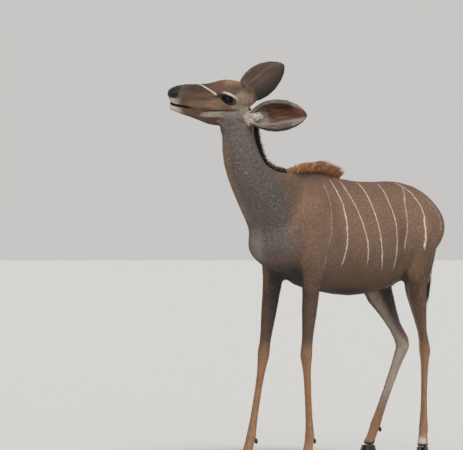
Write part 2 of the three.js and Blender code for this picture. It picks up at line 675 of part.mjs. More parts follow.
// The model: everything of flesh is joined once, then parted along the planes
function buildSolids() {
  const solids = {};
  const legs = Object.fromEntries(Object.entries(LEGS).map(([name, leg]) => [name, legSolid(leg)]));
  let whole = join([loft(TRUNK, 24, 20), loft(NECK, 20, 14), headSolid(), ...Object.values(legs)]);
  for (const piece of [...maneLocks(), ...crestLocks()]) {
    whole = whole.add(piece);
  }
  whole = whole.subtract(tailCore(GAP));
  const headCut = neckBlock(HEAD_CUT);
  solids.head = whole.intersect(headCut);
  whole = whole.subtract(neckBlock(HEAD_CUT, GAP));
  solids.neck = whole.intersect(neckBlock(NECK_CUT));
  whole = whole.subtract(neckBlock(NECK_CUT, GAP));
  for (const [name, leg] of Object.entries(LEGS)) {
    const cutter = name.startsWith('fore') ? foreBlock : hindBlock;
    solids[name] = whole.intersect(cutter(leg.turn));
  }
  for (const turn of [1, -1]) {
    whole = whole.subtract(foreBlock(turn, GAP)).subtract(hindBlock(turn, GAP));
  }
  solids.torso = whole;
  let hair = join(tailLocks()).subtract(loft(TRUNK, 24, 20, new THREE.Vector3(1, 0, 0), 1));
  for (const leg of [LEGS.hindleg_left, LEGS.hindleg_right]) {
    hair = hair.subtract(legSolid(leg, 1));
  }
  solids.tail = tailCore().add(hair);
  for (const [name, ear] of Object.entries(EARS)) {
    solids[name] = earSolid(ear).add(earBase(ear));
    const room = earSolid(ear, GAP).add(earBase(ear, GAP));
    solids.head = solids.head.subtract(room);
    solids.neck = solids.neck.subtract(room);
  }
  solids.eye_left = eyeball(1);
  solids.eye_right = eyeball(-1);
  for (const [name, leg] of Object.entries(LEGS)) {
    for (const [word, outer] of [['inner', -leg.turn], ['outer', leg.turn]]) {
      solids[`${name}_claw_${word}`] = clawSolid(leg, outer);
      solids[`${name}_dewclaw_${word}`] = dewclaw(leg, outer);
      solids[name] = solids[name].subtract(dewclaw(leg, outer, GAP));
    }
  }
  return solids;
}

function coatOf(name) {
  if (name.includes('claw')) return COATS.horn;
  return name.startsWith('eye') ? COATS.eye : COATS.coat;
}

function meshOf(name, body) {
  const mesh = largest(body).getMesh();
  const geometry = new THREE.BufferGeometry();
  geometry.setAttribute('position', new THREE.BufferAttribute(new Float32Array(mesh.vertProperties), 3));
  geometry.setIndex(new THREE.BufferAttribute(new Uint32Array(mesh.triVerts), 1));
  geometry.computeVertexNormals();
  const material = new THREE.MeshStandardMaterial({ ...coatOf(name), metalness: 0 });
  const object = new THREE.Mesh(geometry, material);
  object.name = name;
  return object;
}

// The origin is the middle of the model's foot print, on the ground
const kudu = new THREE.Group();
for (const [name, body] of Object.entries(buildSolids())) {
  kudu.add(meshOf(name, body));
}
const reach = new THREE.Box3().setFromObject(kudu);
kudu.position.set(-(reach.min.x + reach.max.x) / 2, -(reach.min.y + reach.max.y) / 2, -reach.min.z);
kudu.updateMatrixWorld(true);

export default kudu;
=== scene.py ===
"""Greater kudu: the finished looks of a life-size model of a standing female, head raised to browse."""

import math

import bmesh
import bpy
import numpy as np
from mathutils import Matrix, Vector
from mathutils.bvhtree import BVHTree


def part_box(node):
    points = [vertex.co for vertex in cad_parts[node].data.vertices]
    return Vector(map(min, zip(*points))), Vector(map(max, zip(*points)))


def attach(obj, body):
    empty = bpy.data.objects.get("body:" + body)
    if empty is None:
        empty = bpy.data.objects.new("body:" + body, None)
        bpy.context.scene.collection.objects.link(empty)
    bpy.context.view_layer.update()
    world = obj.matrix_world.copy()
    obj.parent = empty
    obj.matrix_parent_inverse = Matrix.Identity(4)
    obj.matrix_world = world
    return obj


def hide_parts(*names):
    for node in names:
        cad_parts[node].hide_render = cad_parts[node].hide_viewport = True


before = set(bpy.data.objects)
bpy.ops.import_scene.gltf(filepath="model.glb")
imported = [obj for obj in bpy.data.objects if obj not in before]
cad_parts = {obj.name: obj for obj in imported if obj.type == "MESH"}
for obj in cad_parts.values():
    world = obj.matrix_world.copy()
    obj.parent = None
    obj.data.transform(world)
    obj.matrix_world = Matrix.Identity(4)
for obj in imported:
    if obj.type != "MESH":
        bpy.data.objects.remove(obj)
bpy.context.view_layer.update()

bl_info = {
    "name": "Greater kudu",
    "version": (1, 0, 0),
    "blender": (4, 5, 0),
    "location": "3D View > Sidebar > Kudu",
    "description": "Skin, coat, long hair, ears, eyes and hooves of a standing greater kudu",
    "category": "Object",
}

# The head's own frame: the tip of the nose, how far the head turns to her right, how far it tips
NOSE_TIP = Vector((-0.240, -1.006, 1.486))
POLL_TURN = math.radians(38.4)
HEAD_ROLL = math.radians(22)
HEAD_BACK = Vector((math.sin(POLL_TURN), math.cos(POLL_TURN), 0))
LEVEL_SIDE = Vector((math.cos(POLL_TURN), -math.sin(POLL_TURN), 0))
HEAD_SIDE = LEVEL_SIDE * math.cos(HEAD_ROLL) - Vector((0, 0, math.sin(HEAD_ROLL)))
HEAD_UP = LEVEL_SIDE * math.sin(HEAD_ROLL) + Vector((0, 0, math.cos(HEAD_ROLL)))
EYE_PLACE = Vector((0.231, 0.045, -0.006))

# The line of nape and back from the poll to the croup: (x, y, z) before the model's shift, and how many
# degrees the neck is turned there to her right
TOPLINE = [
    (-0.0725, -0.741, 1.446, 38), (-0.0505, -0.729, 1.416, 38), (-0.022, -0.739, 1.361, 36),
    (-0.005, -0.749, 1.304, 30), (0.006, -0.743, 1.255, 20), (0.005, -0.727, 1.230, 10),
    (0.002, -0.700, 1.209, 3), (0, -0.640, 1.188, 0), (0, -0.560, 1.182, 0), (0, -0.420, 1.192, 0),
    (0, -0.310, 1.188, 0), (0, -0.180, 1.164, 0), (0, -0.040, 1.152, 0), (0, 0.110, 1.152, 0),
    (0, 0.250, 1.160, 0), (0, 0.360, 1.146, 0), (0, 0.460, 1.116, 0),
]

# White stripes of the left side, each as the (y, z) of its top, middle and foot, and its strength
STRIPES = [
    (-0.362, 1.126, -0.394, 0.990, -0.432, 0.875, 0.30),
    (-0.291, 1.143, -0.300, 0.985, -0.326, 0.806, 0.95),
    (-0.217, 1.140, -0.203, 0.985, -0.170, 0.809, 0.9),
    (-0.068, 1.141, -0.104, 0.975, -0.054, 0.787, 0.95),
    (0.092, 1.143, 0.032, 0.965, 0.035, 0.786, 1.0),
    (0.222, 1.121, 0.135, 0.991, 0.101, 0.864, 0.55),
    (0.222, 1.144, 0.270, 1.060, 0.248, 0.980, 0.95),
    (0.254, 1.000, 0.232, 0.940, 0.224, 0.867, 0.95),
    (0.372, 1.075, 0.425, 1.000, 0.400, 0.925, 0.35),
]

# Soft patches of the head's colours, along its own axes back, side and up: colour, middle, reach, strength
FACE_PATCHES = [
    ("cheek", (0.130, 0.035, -0.036), (0.070, 0.060, 0.016), 0.6),
    ("cheek", (0.190, 0.050, -0.034), (0.045, 0.060, 0.022), 0.7),
    ("temple", (0.290, 0.055, -0.030), (0.048, 0.060, 0.050), 0.8),
]
EAR_BASE_PATCHES = [
    ("cheek", (0.370, 0.100, -0.070), (0.060, 0.060, 0.060), 0.8),
    ("rim_tan", (0.365, 0.080, -0.045), (0.050, 0.050, 0.016), 0.7),
]
CROWN_PATCHES = [
    ("dark", (0.318, 0.100, -0.105), (0.012, 0.030, 0.012), 0.7),
    ("rim_tan", (0.335, 0.045, 0.000), (0.012, 0.020, 0.030), 0.5),
    ("dark", (0.296, 0.014, 0.040), (0.010, 0.012, 0.020), 0.6),
]

# Soft swellings and hollows of both sides: (x, y, z) of the middle, how far it reaches, how high it stands
MUSCLES = [
    (0.120, 0.120, 1.060, 0.085, -0.011), (0.090, 0.235, 1.120, 0.045, 0.006),
    (0.160, 0.085, 0.900, 0.055, -0.012), (0.150, 0.100, 0.810, 0.050, -0.010),
    (0.120, -0.330, 0.980, 0.090, -0.008), (0.110, -0.440, 1.040, 0.070, 0.006),
    (0.100, -0.610, 0.920, 0.060, 0.008), (0.090, -0.630, 1.040, 0.060, -0.007),
    (0.120, -0.450, 0.800, 0.050, 0.006), (0.130, -0.380, 0.860, 0.050, -0.006),
    (0.160, 0.290, 0.950, 0.090, 0.006), (0.130, 0.410, 0.850, 0.050, -0.006),
    (0.020, -0.760, 0.870, 0.060, -0.008), (0.120, -0.375, 1.000, 0.060, -0.005),
]

LEGS = ["foreleg_left", "foreleg_right", "hindleg_left", "hindleg_right"]
CLAWS = ["claw_inner", "claw_outer", "dewclaw_inner", "dewclaw_outer"]
FLESH = ["torso", "neck", "head", *LEGS]
EARS = {
    "ear_left": {"turn": 1, "rise": -0.092, "along": (0.86, 0.45, 0.26), "open": (-0.67, 0.58, 0.40)},
    "ear_right": {"turn": -1, "rise": -0.030, "along": (0.79, -0.46, 0.42), "open": (-0.3, -0.73, -0.46)},
}

# Sections of an ear: share of its length, radius of its cup in metres, half its opening in degrees
EAR_SECTIONS = [
    (0, 0.021, 152), (0.10, 0.032, 128), (0.22, 0.046, 100), (0.36, 0.060, 80), (0.52, 0.070, 66),
    (0.68, 0.072, 55), (0.83, 0.066, 42), (0.93, 0.056, 29), (0.98, 0.046, 17), (1.0, 0.040, 4),
]
EAR_LENGTH = 0.230
EAR_ROOT = (0.328, 0.050)
EAR_WALL = 0.0028
EAR_RIPPLE = 0.0012

# The flesh round an ear's root is a ball with these radii, this far along the ear and into its cup
EAR_FLESH = (0.064, 0.038, 0.034)
EAR_FLESH_ALONG = 0.012
EAR_FLESH_IN = 0.020

# The tail's dock from its root to its tip, before the model's shift, and its radii there
TAIL_LINE = [
    (0, 0.496, 1.066), (0, 0.540, 1.050), (0, 0.558, 0.998), (0, 0.548, 0.910), (0, 0.526, 0.810),
    (0, 0.512, 0.746),
]
TAIL_ROOT_RADIUS = 0.029
TAIL_TIP_RADIUS = 0.007

# Eyes: radius, how much wider their sockets are, and width of the lids' rims as an angle
EYE_RADIUS = 0.0205
EYE_SOCKET = 1.12
LID_WIDTH = 0.30
LID_WALL = 0.0012

# How far the coat stands off the skin on the body, how much less on face and legs, and how small the
# face's tufts are beside the body's
COAT_THICKNESS = 0.0042
COAT_THINNER = 0.0028
FACE_FUR = 0.62
COAT_SHEEN = 0.03
BAKE_PATCH = 0.003

# Surfaces: how far flesh overlaps where it is joined, and the width of a hoof's faces
FLESH_OVERLAP = 0.0006
HOOF_FACE = 0.0019

# Starts of the random draws
COAT_SEED, MANE_SEED, CREST_SEED, TAIL_SEED, EAR_SEED = 20, 51, 52, 53, 54

# Where the photo was taken from, and the way the camera looks
CAMERA_PLACE = Vector((7.5987, -11.7702, 0.970))
CAMERA_WAY = Vector((-0.57358, 0.81915, 0))

# Studio light: name, the way it comes from, how wide its source looks in degrees, and its strength
LIGHTS = [
    ("Key light", (0.75, 0.05, 1.0), 25, 1.9),
    ("Fill light", (0.55, -1.0, 0.55), 60, 1.0),
    ("Back light", (-0.9, 0.3, 0.7), 40, 0.5),
]
LAMP_DISTANCE = 5
WORLD_COLOUR = (0.92, 0.91, 0.89, 1)
WORLD_LIGHT = 0.62
FLOOR_RADIUS = 80.0


def head_way(back, side, up):
    """A direction given along the head's own axes."""
    return (HEAD_BACK * back + HEAD_SIDE * side + HEAD_UP * up).normalized()


def head_place(back, side, up):
    """A place given along the head's own axes, before the model's shift."""
    return NOSE_TIP + HEAD_BACK * back + HEAD_SIDE * side + HEAD_UP * up


def middle(node):
    """The middle of a CAD node's box."""
    low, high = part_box(node)
    return (low + high) / 2


# The CAD model stands on its box's middle; the left eye shows how far that moved it
SHIFT = middle("eye_left") - head_place(*EYE_PLACE)


def linear(red, green, blue):
    """A colour given as 0 to 255 screen values, as the shader wants it."""
    def channel(value):
        """One screen value as an amount of light."""
        value /= 255
        return value / 12.92 if value <= 0.04045 else ((value + 0.055) / 1.055) ** 2.4
    return (channel(red), channel(green), channel(blue), 1.0)


# Settings shown in the sidebar


def colour_setting(label, where, red, green, blue):
    """A colour that the sidebar shows, given as 0 to 255 screen values."""
    return bpy.props.FloatVectorProperty(
        name=label, description=where, default=linear(red, green, blue),
        size=4, min=0, max=1, subtype="COLOR")


def length_setting(label, where, metres):
    """A length that the sidebar shows."""
    return bpy.props.FloatProperty(
        name=label, description=where, default=metres, min=0.0001, unit="LENGTH", subtype="DISTANCE")


def count_setting(label, where, count):
    """A number of hairs that the sidebar shows."""
    return bpy.props.IntProperty(name=label, description=where, default=count, min=100)


class KuduColours(bpy.types.PropertyGroup):
    """Colours of coat, hair, eyes and horn, matched to the photo."""
    flank: colour_setting("Flank", "Sides of the trunk", 141, 110, 86)
    back: colour_setting("Back", "Upper sides and back", 124, 93, 72)
    # Low flank: the lower sides, and also painted shade behind the shoulder blade
    flank_low: colour_setting("Low flank", "Lower sides and the line of the shoulder blade", 120, 91, 70)
    neck: colour_setting("Neck", "Neck and shoulder", 115, 105, 98)
    # Belly: the belly, partly its own colour and partly painted shade, and painted shade in the fold of the
    # flank
    belly: colour_setting("Belly", "Belly and the fold of the flank", 102, 75, 56)
    thigh: colour_setting("Thigh", "Upper hind legs", 106, 78, 58)
    inner_pale: colour_setting("Pale inner leg", "Inner side of the hind legs", 158, 145, 133)
    # Dark inner leg: painted shade on the inner side of the legs
    inner_dark: colour_setting("Dark inner leg", "Shaded inner side of all legs", 62, 54, 49)
    throat: colour_setting("Throat", "Line down the front of the neck", 160, 130, 104)
    forearm: colour_setting("Forearm", "Upper forelegs", 72, 53, 42)
    shank: colour_setting("Shank", "Legs below knee and hock", 142, 103, 73)
    shank_low: colour_setting("Low shank", "Legs near the hooves", 150, 112, 82)
    stripe: colour_setting("Stripe", "Stripes of the flanks and the white of the tail", 222, 210, 192)
    pale: colour_setting("Pale marks", "Lips, brow, fluff of the ears, spots over the hooves", 205, 196, 184)
    # Dark marks also paint the shadows at the foot of the crest and along the underside of the belly
    dark: colour_setting("Dark marks", "Line of the back, lids, mouth and hair at the hooves", 36, 27, 23)
    face: colour_setting("Face", "Sides of the face", 104, 77, 60)
    cheek: colour_setting("Cheek", "Lighter patches of the face", 156, 126, 103)
    temple: colour_setting("Temple", "Behind the eye", 168, 150, 134)
    forehead: colour_setting("Forehead", "Between the eyes", 106, 77, 60)
    bridge: colour_setting("Bridge", "Top of the muzzle", 64, 46, 37)
    grey_brown: colour_setting("Muzzle", "Behind the nose", 98, 80, 72)
    jaw_grey: colour_setting("Jaw", "Bands along the lower jaw", 186, 176, 164)
    # Jaw fold: painted shade in the fold above the lower jaw
    jaw_fold_shade: colour_setting("Jaw fold", "Fold above the lower jaw", 62, 44, 36)
    nose: colour_setting("Nose", "Bare skin of the nose", 20, 16, 16)
    rim_tan: colour_setting("Ear root", "Hair round the roots of the ears", 178, 142, 112)
    ear_inside: colour_setting("Ear cup", "Dark inside of the ears", 72, 37, 25)
    ear_red: colour_setting("Ear cup streaks", "Red streaks inside the ears", 130, 74, 48)
    ear_grey: colour_setting("Ear cup edge", "Lower inside of the ears", 158, 144, 134)
    ear_back: colour_setting("Ear back", "Backs of the ears", 58, 41, 34)
    ear_streak: colour_setting("Ear back streaks", "Streaks on the backs of the ears", 92, 70, 58)
    mane_dark: colour_setting("Mane", "Mane along the nape, and the lids", 14, 10, 9)
    mane_tip: colour_setting("Mane tips", "Brown hairs of the mane", 150, 98, 60)
    crest_root: colour_setting("Crest", "Crest over the withers", 128, 78, 42)
    crest_tip: colour_setting("Crest tips", "Pale hairs of the crest", 190, 142, 90)
    pupil: colour_setting("Pupil", "Dark of the eye", 13, 10, 7)
    iris: colour_setting("Iris", "Brown of the eye", 58, 32, 18)
    horn: colour_setting("Hooves", "Horn of the hooves", 38, 30, 26)
    horn_worn: colour_setting("Worn horn", "Foot of the hooves", 92, 78, 66)
    floor: colour_setting("Floor", "The floor", 188, 187, 184)


class KuduSizes(bpy.types.PropertyGroup):
    """Sizes and amounts."""
    skin_face: length_setting("Skin detail", "Width of the skin's faces on the body", 0.0071)
    fur_length: length_setting("Fur length", "Length of a tuft of the body's short coat", 0.0130)
    fur_width: length_setting("Fur width", "Width of a tuft at its root", 0.0033)
    mane_length: length_setting("Mane length", "Length of the hair along the nape", 0.040)
    crest_length: length_setting("Crest length", "Length of the hair over the withers", 0.080)
    fur_count: count_setting("Fur tufts", "Short tufts in each piece of the coat", 38000)
    mane_count: count_setting("Mane hairs", "Hairs of the mane", 4600)
    crest_count: count_setting("Crest hairs", "Hairs of the crest", 3600)
    tail_count: count_setting("Tail hairs", "Hairs of the tail", 2800)
    ear_count: count_setting("Ear hairs", "Fine hairs of each ear", 5000)
    focal: bpy.props.FloatProperty(
        name="Focal length", description="Focal length of the camera in millimetres", default=265.6, min=10)


# Shader maths


class Wire:
    """A socket in a node tree, so that shader maths reads as an expression."""

    def __init__(self, shade, socket):
        self.shade = shade
        self.socket = socket

    def math(self, operation, *others):
        """A Math node of this value and others."""
        values = dict(enumerate((self, *others)))
        return self.shade.node("ShaderNodeMath", {"operation": operation}, values)

    def __add__(self, other):
        return self.math("ADD", other)

    def __sub__(self, other):
        return self.math("SUBTRACT", other)

    def __mul__(self, other):
        return self.math("MULTIPLY", other)

    def __truediv__(self, other):
        return self.math("DIVIDE", other)

    def __rsub__(self, other):
        return self * -1 + other

    __radd__ = __add__
    __rmul__ = __mul__

    def __abs__(self):
        return self.math("ABSOLUTE")

    def least(self, other):
        """The smaller of two values."""
        return self.math("MINIMUM", other)

    def most(self, other):
        """The larger of two values."""
        return self.math("MAXIMUM", other)

    def rise(self, start, end):
        """0 up to start, 1 from end, and smooth between; start may be the larger."""
        low, high = (0.0, 1.0) if start < end else (1.0, 0.0)
        values = {0: self, 1: min(start, end), 2: max(start, end), 3: low, 4: high}
        return self.shade.node("ShaderNodeMapRange", {"interpolation_type": "SMOOTHSTEP"}, values)

    def along(self, axis, start=(0, 0, 0)):
        """How far this place lies along an axis from a start."""
        offset = Vector(axis).dot(Vector(start))
        values = {0: self, 1: tuple(axis)}
        return self.shade.node("ShaderNodeVectorMath", {"operation": "DOT_PRODUCT"}, values, 1) - offset


class Shade:
    """A material under construction."""

    def __init__(self, name):
        self.tints = bpy.context.scene.kudu_colours
        self.material = bpy.data.materials.new(name)
        self.material.use_nodes = True
        self.tree = self.material.node_tree
        self.tree.nodes.clear()
        place = self.node("ShaderNodeTexCoord", {}, {}, "Object")
        self.place = self.node("ShaderNodeVectorMath", {"operation": "SUBTRACT"}, {0: place, 1: tuple(SHIFT)})
        self.x, self.y, self.z = (self.place.along(axis) for axis in ((1, 0, 0), (0, 1, 0), (0, 0, 1)))
        self.back, self.side, self.up = (
            self.place.along(axis, NOSE_TIP) for axis in (HEAD_BACK, HEAD_SIDE, HEAD_UP))

    def node(self, kind, settings, values, out=0):
        """Any node, from its type, its settings and the values or links of its sockets."""
        made = self.tree.nodes.new(kind)
        for key, value in settings.items():
            setattr(made, key, value)
        for key, value in values.items():
            socket = made.inputs[key]
            if isinstance(value, Wire):
                self.tree.links.new(value.socket, socket)
            else:
                socket.default_value = value
        return Wire(self, made.outputs[out])

    def grain(self, scale, detail=2.0, stretch=(1, 1, 1), rough=0.5):
        """Noise from 0 to 1 over the model, stretched along its axes."""
        place = self.node("ShaderNodeVectorMath", {"operation": "MULTIPLY"}, {0: self.place, 1: stretch})
        values = {"Vector": place, "Scale": scale, "Detail": detail, "Roughness": rough}
        return self.node("ShaderNodeTexNoise", {}, values, "Fac")

    def streaks(self, x, y, z, detail):
        """Noise from 0 to 1 over three values, for streaks along ways of their own."""
        place = self.node("ShaderNodeCombineXYZ", {}, {0: x, 1: y, 2: z})
        return self.node("ShaderNodeTexNoise", {}, {"Vector": place, "Scale": 1.0, "Detail": detail}, "Fac")

    def of_strand(self, name):
        """A number kept on each strand: its lot, from 0 to 1, or the way to its tip."""
        return self.node("ShaderNodeAttribute", {"attribute_name": name}, {}, "Fac")

    def mix(self, under, over, share):
        """One colour laid over another."""
        values = {"Factor": share, 6: under, 7: over}
        return self.node("ShaderNodeMix", {"data_type": "RGBA"}, values, 2)

    def tint(self, colour, light):
        """A colour made lighter or darker by a value round 1."""
        level = self.node("ShaderNodeCombineXYZ", {}, {0: light, 1: light, 2: light})
        values = {"Factor": 1.0, 6: colour, 7: level}
        return self.node("ShaderNodeMix", {"data_type": "RGBA", "blend_type": "MULTIPLY"}, values, 2)

    def bump(self, height, strength, distance):
        """A normal that follows a height."""
        return self.node("ShaderNodeBump", {}, {"Height": height, "Strength": strength, "Distance": distance})

    def finish(self, colour, roughness, normal=None, **plain):
        """Closes the material with its shader and gives it back."""
        values = {"Base Color": colour, "Roughness": roughness}
        if normal:
            values["Normal"] = normal
        for key, value in plain.items():
            values[key.replace("_", " ")] = value
        shader = self.node("ShaderNodeBsdfPrincipled", {}, values)
        output = self.tree.nodes.new("ShaderNodeOutputMaterial")
        self.tree.links.new(shader.socket, output.inputs["Surface"])
        return self.material


# Skin


def copy_node(bm, name, grow):
    """Adds a CAD node's surface to a mesh, let out a little so that it overlaps its neighbours."""
    piece = bmesh.new()
    piece.from_mesh(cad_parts[name].data)
    bmesh.ops.remove_doubles(piece, verts=piece.verts, dist=0.00005)
    piece.normal_update()
    for vert in piece.verts:
        vert.co += vert.normal * grow
    mesh = mesh_of(piece, "copy")
    bm.from_mesh(mesh)
    bpy.data.meshes.remove(mesh)


def add_ball(bm, centre, radius, stretch=(1, 1, 1), turn=None):
    """Adds a ball, stretched along the axes of a turn."""
    matrix = Matrix.Translation(centre) @ (turn or Matrix.Identity(4)) @ Matrix.Diagonal((*stretch, 1))
    bmesh.ops.create_icosphere(bm, subdivisions=3, radius=radius, matrix=matrix)


def mesh_of(bm, name):
    """The mesh that a bmesh holds; the bmesh is freed."""
    mesh = bpy.data.meshes.new(name)
    bm.to_mesh(mesh)
    bm.free()
    return mesh


def shaded_smooth(mesh):
    """The mesh with its faces shaded as one rounded surface."""
    for face in mesh.polygons:
        face.use_smooth = True
    return mesh


def remeshed(mesh, voxel):
    """The mesh as one closed surface of even squares."""
    shape = bpy.data.objects.new("remesh", mesh)
    bpy.context.scene.collection.objects.link(shape)
    modifier = shape.modifiers.new("Remesh", "REMESH")
    modifier.mode = "VOXEL"
    modifier.voxel_size = voxel
    depsgraph = bpy.context.evaluated_depsgraph_get()
    made = bpy.data.meshes.new_from_object(shape.evaluated_get(depsgraph))
    bpy.data.objects.remove(shape)
    bpy.data.meshes.remove(mesh)
    return made


def points_of(mesh):
    """The places of a mesh's vertices, without the model's shift."""
    flat = np.empty(len(mesh.vertices) * 3, dtype=np.float32)
    mesh.vertices.foreach_get("co", flat)
    return flat.reshape(-1, 3).astype(np.float64) - np.array(SHIFT)


def set_points(mesh, points):
    """Puts the vertices at new places, given without the model's shift."""
    mesh.vertices.foreach_set("co", (points + np.array(SHIFT)).astype(np.float32).ravel())
    mesh.update()


def edges_of(mesh):
    """The two ends of each edge."""
    flat = np.empty(len(mesh.edges) * 2, dtype=np.int32)
    mesh.edges.foreach_get("vertices", flat)
    return flat.reshape(-1, 2)


def normals_of(mesh):
    """The normals at a mesh's vertices."""
    flat = np.empty(len(mesh.vertices) * 3, dtype=np.float32)
    mesh.vertex_normals.foreach_get("vector", flat)
    return flat.reshape(-1, 3).astype(np.float64)


def averaged(points, edges):
    """Each vertex's mean of its neighbours."""
    total = np.zeros_like(points)
    count = np.zeros(len(points))
    for near, far in ((0, 1), (1, 0)):
        for axis in range(3):
            total[:, axis] += np.bincount(edges[:, near], points[edges[:, far], axis], len(points))
        count += np.bincount(edges[:, near], minlength=len(points))
    return total / count[:, None]


def smooth(points, edges, share, passes, swell=0.0):
    """Evens a surface out; swell gives back the fullness that plain evening would take."""
    for _ in range(passes):
        points = points + (averaged(points, edges) - points) * share[:, None]
        if swell:
            points = points - (averaged(points, edges) - points) * share[:, None] * swell
    return points


def ramp(value, start, end):
    """0 at start, 1 at end, smooth between."""
    t = np.clip((value - start) / (end - start), 0, 1)
    return t * t * (3 - 2 * t)


def head_coordinates(points):
    """Places along the head's own axes, in three columns."""
    return (points - np.array(NOSE_TIP)) @ np.array([HEAD_BACK, HEAD_SIDE, HEAD_UP]).T


def head_share(points):
    """1 in the head, 0 in the neck and body."""
    back = head_coordinates(points)[:, 0]
    muzzle = ramp(back, 0.235, 0.200) * ramp(points[:, 2], 1.32, 1.34)
    return np.maximum(ramp(points[:, 2], 1.385, 1.430), muzzle)


def across_way(twist):
    """The way to her left where the neck is turned by a number of degrees."""
    turn = np.radians(twist)
    return np.stack([np.cos(turn), -np.sin(turn), np.zeros_like(turn)], axis=-1)


def below_topline(points):
    """Presses the bases of mane and crest down to the true line of neck and back."""
    line = np.array(TOPLINE)
    best = np.full(len(points), 9.0)
    out, across = np.zeros(len(points)), np.zeros(len(points))
    way = np.zeros_like(points)
    for start, end in zip(line, line[1:]):
        step = end[:3] - start[:3]
        side = across_way((start[3] + end[3]) / 2)
        upward = np.cross(side, step)
        upward *= np.sign(upward[2] + upward[1]) / np.linalg.norm(upward)
        share = np.clip(((points - start[:3]) @ step) / (step @ step), 0, 1)
        offset = points - start[:3] - share[:, None] * step
        distance = np.hypot(offset @ upward, offset @ unit(step[None])[0])
        nearer = distance < best
        best = np.where(nearer, distance, best)
        out = np.where(nearer, offset @ upward, out)
        across = np.where(nearer, offset @ side, across)
        way[nearer] = upward
    inside = (np.abs(across) < 0.062) & (best < 0.12)
    excess = np.where(inside, out + across ** 2 / 0.11, 0)
    skull = ramp(head_coordinates(points)[:, 2], -0.020, -0.055)
    return points - way * (np.maximum(excess, 0) * skull)[:, None]


def eye_frame(turn):
    """The middle of an eye, the way along its lids, the way up across them and the way it looks."""
    back, side, up = EYE_PLACE
    look = head_way(-0.30, turn * 0.92, 0.12)
    along = head_way(0.95, turn * 0.30, -0.28)
    along = (along - look * along.dot(look)).normalized()
    rise = look.cross(along) * (1 if look.cross(along).dot(HEAD_UP) > 0 else -1)
    return head_place(back, turn * side, up), along, rise, look


def almond(angle):
    """How wide the lids stand open, as an angle from the way the eye looks, round the eye."""
    across, high = math.cos(angle), math.sin(angle)
    tall = 0.54 if high > 0 else 0.46
    wide = 0.98 if across < 0 else 0.92
    return 1 / (abs(across / wide) ** 1.7 + abs(high / tall) ** 1.7) ** (1 / 1.7)


def shape_eyes(points):
    """Sets the skin round each eyeball and well back from it inside the lids."""
    for turn in (1, -1):
        centre, along, rise, look = (np.array(value) for value in eye_frame(turn))
        offset = points - centre
        radius = np.linalg.norm(offset, axis=1) + 1e-9
        depth = offset @ look / radius
        angle = np.arctan2(offset @ rise, offset @ along)
        away = np.arccos(np.clip(depth, -1, 1))
        opening = np.array([almond(value) for value in angle])
        near = radius < EYE_RADIUS * 2.2
        inside = ramp(away, opening * 1.30 + 0.12, opening * 1.12)
        target = EYE_RADIUS * (1.10 - 0.42 * inside)
        reach = near & (away < 1.45)
        scale = np.where(reach, np.where(inside > 0.02, target, np.maximum(radius, target)) / radius, 1)
        points = centre + offset * scale[:, None]
    return points


def shape_face(points):
    """Presses nostrils, the line of the mouth and the folds of the cheek into the skin of the head."""
    back, side, up = head_coordinates(points).T
    turned = np.sign(side + 1e-9)
    move = np.zeros_like(points)
    left = np.array(HEAD_SIDE)
    rear = np.array(HEAD_BACK)
    # Nostrils: a comma that opens forward and to the side, under a full rim
    wide = np.abs(side)
    along = (back - 0.018) * 0.92 + (up - 0.001) * 0.38
    over = -(back - 0.018) * 0.38 + (up - 0.001) * 0.92 - 0.012 * (along / 0.018) ** 2 + 0.004
    slot = np.exp(-(along / 0.0105) ** 4 - (over / 0.0042) ** 2) * ramp(wide, 0.012, 0.018)
    rim = np.exp(-((along / 0.016) ** 2) - (over / 0.012) ** 2) * ramp(wide, 0.012, 0.018)
    move += (-0.0095 * slot + 0.0022 * rim)[:, None] * turned[:, None] * left
    move += (0.006 * slot)[:, None] * rear
    # Mouth: a groove from the chin back to its corner, lips full on both sides of it
    line = mouth_level(back)
    reach = ramp(back, 0.098, 0.084) * ramp(back, -0.02, 0.004)
    groove = np.exp(-((up - line) / 0.0028) ** 2) * reach
    lips = np.exp(-((np.abs(up - line) - 0.008) / 0.0055) ** 2) * reach
    move += (-0.0085 * groove + 0.0018 * lips)[:, None] * turned[:, None] * left
    # Folds: under the eye towards the cheek, and along the edge of the lower jaw
    crease = np.exp(-((up - (-0.066 + 0.14 * (back - 0.15))) / 0.006) ** 2) * ramp(back, 0.13, 0.17)
    crease *= ramp(back, 0.285, 0.25)
    move -= (0.0026 * crease)[:, None] * turned[:, None] * left
    # Brow above the eye, and the hollow in front of it
    brow = np.exp(-((back - 0.236) / 0.026) ** 2 - ((up - 0.026) / 0.012) ** 2)
    tear = np.exp(-((back - 0.186) / 0.018) ** 2 - ((up + 0.004) / 0.012) ** 2)
    move += (0.0030 * brow - 0.0026 * tear)[:, None] * turned[:, None] * left
    return points + move * head_share(points)[:, None]


def mouth_level(back):
    """How far below the nose the line of the mouth runs, at a way back from the tip."""
    return -0.041 - 0.16 * np.clip(back, -0.01, 0.2)


def shape_body(points, normals):
    """Raises the muscles and sinks the hollows of trunk and limbs."""
    lift = np.zeros(len(points))
    folded = points.copy()
    folded[:, 0] = np.abs(points[:, 0])
    for *centre, reach, height in MUSCLES:
        distance = np.linalg.norm(folded - centre, axis=1)
        lift += height * np.exp(-(distance / reach) ** 2)
    return points + normals * lift[:, None]


def coat_depth(points):
    """How thick the coat stands on the skin: short on face and legs."""
    height = points[:, 2]
    leg = ramp(height, 0.80, 0.55)
    face = ramp(head_coordinates(points)[:, 0], 0.34, 0.20) * head_share(points)
    return COAT_THICKNESS - COAT_THINNER * np.maximum(leg, face)


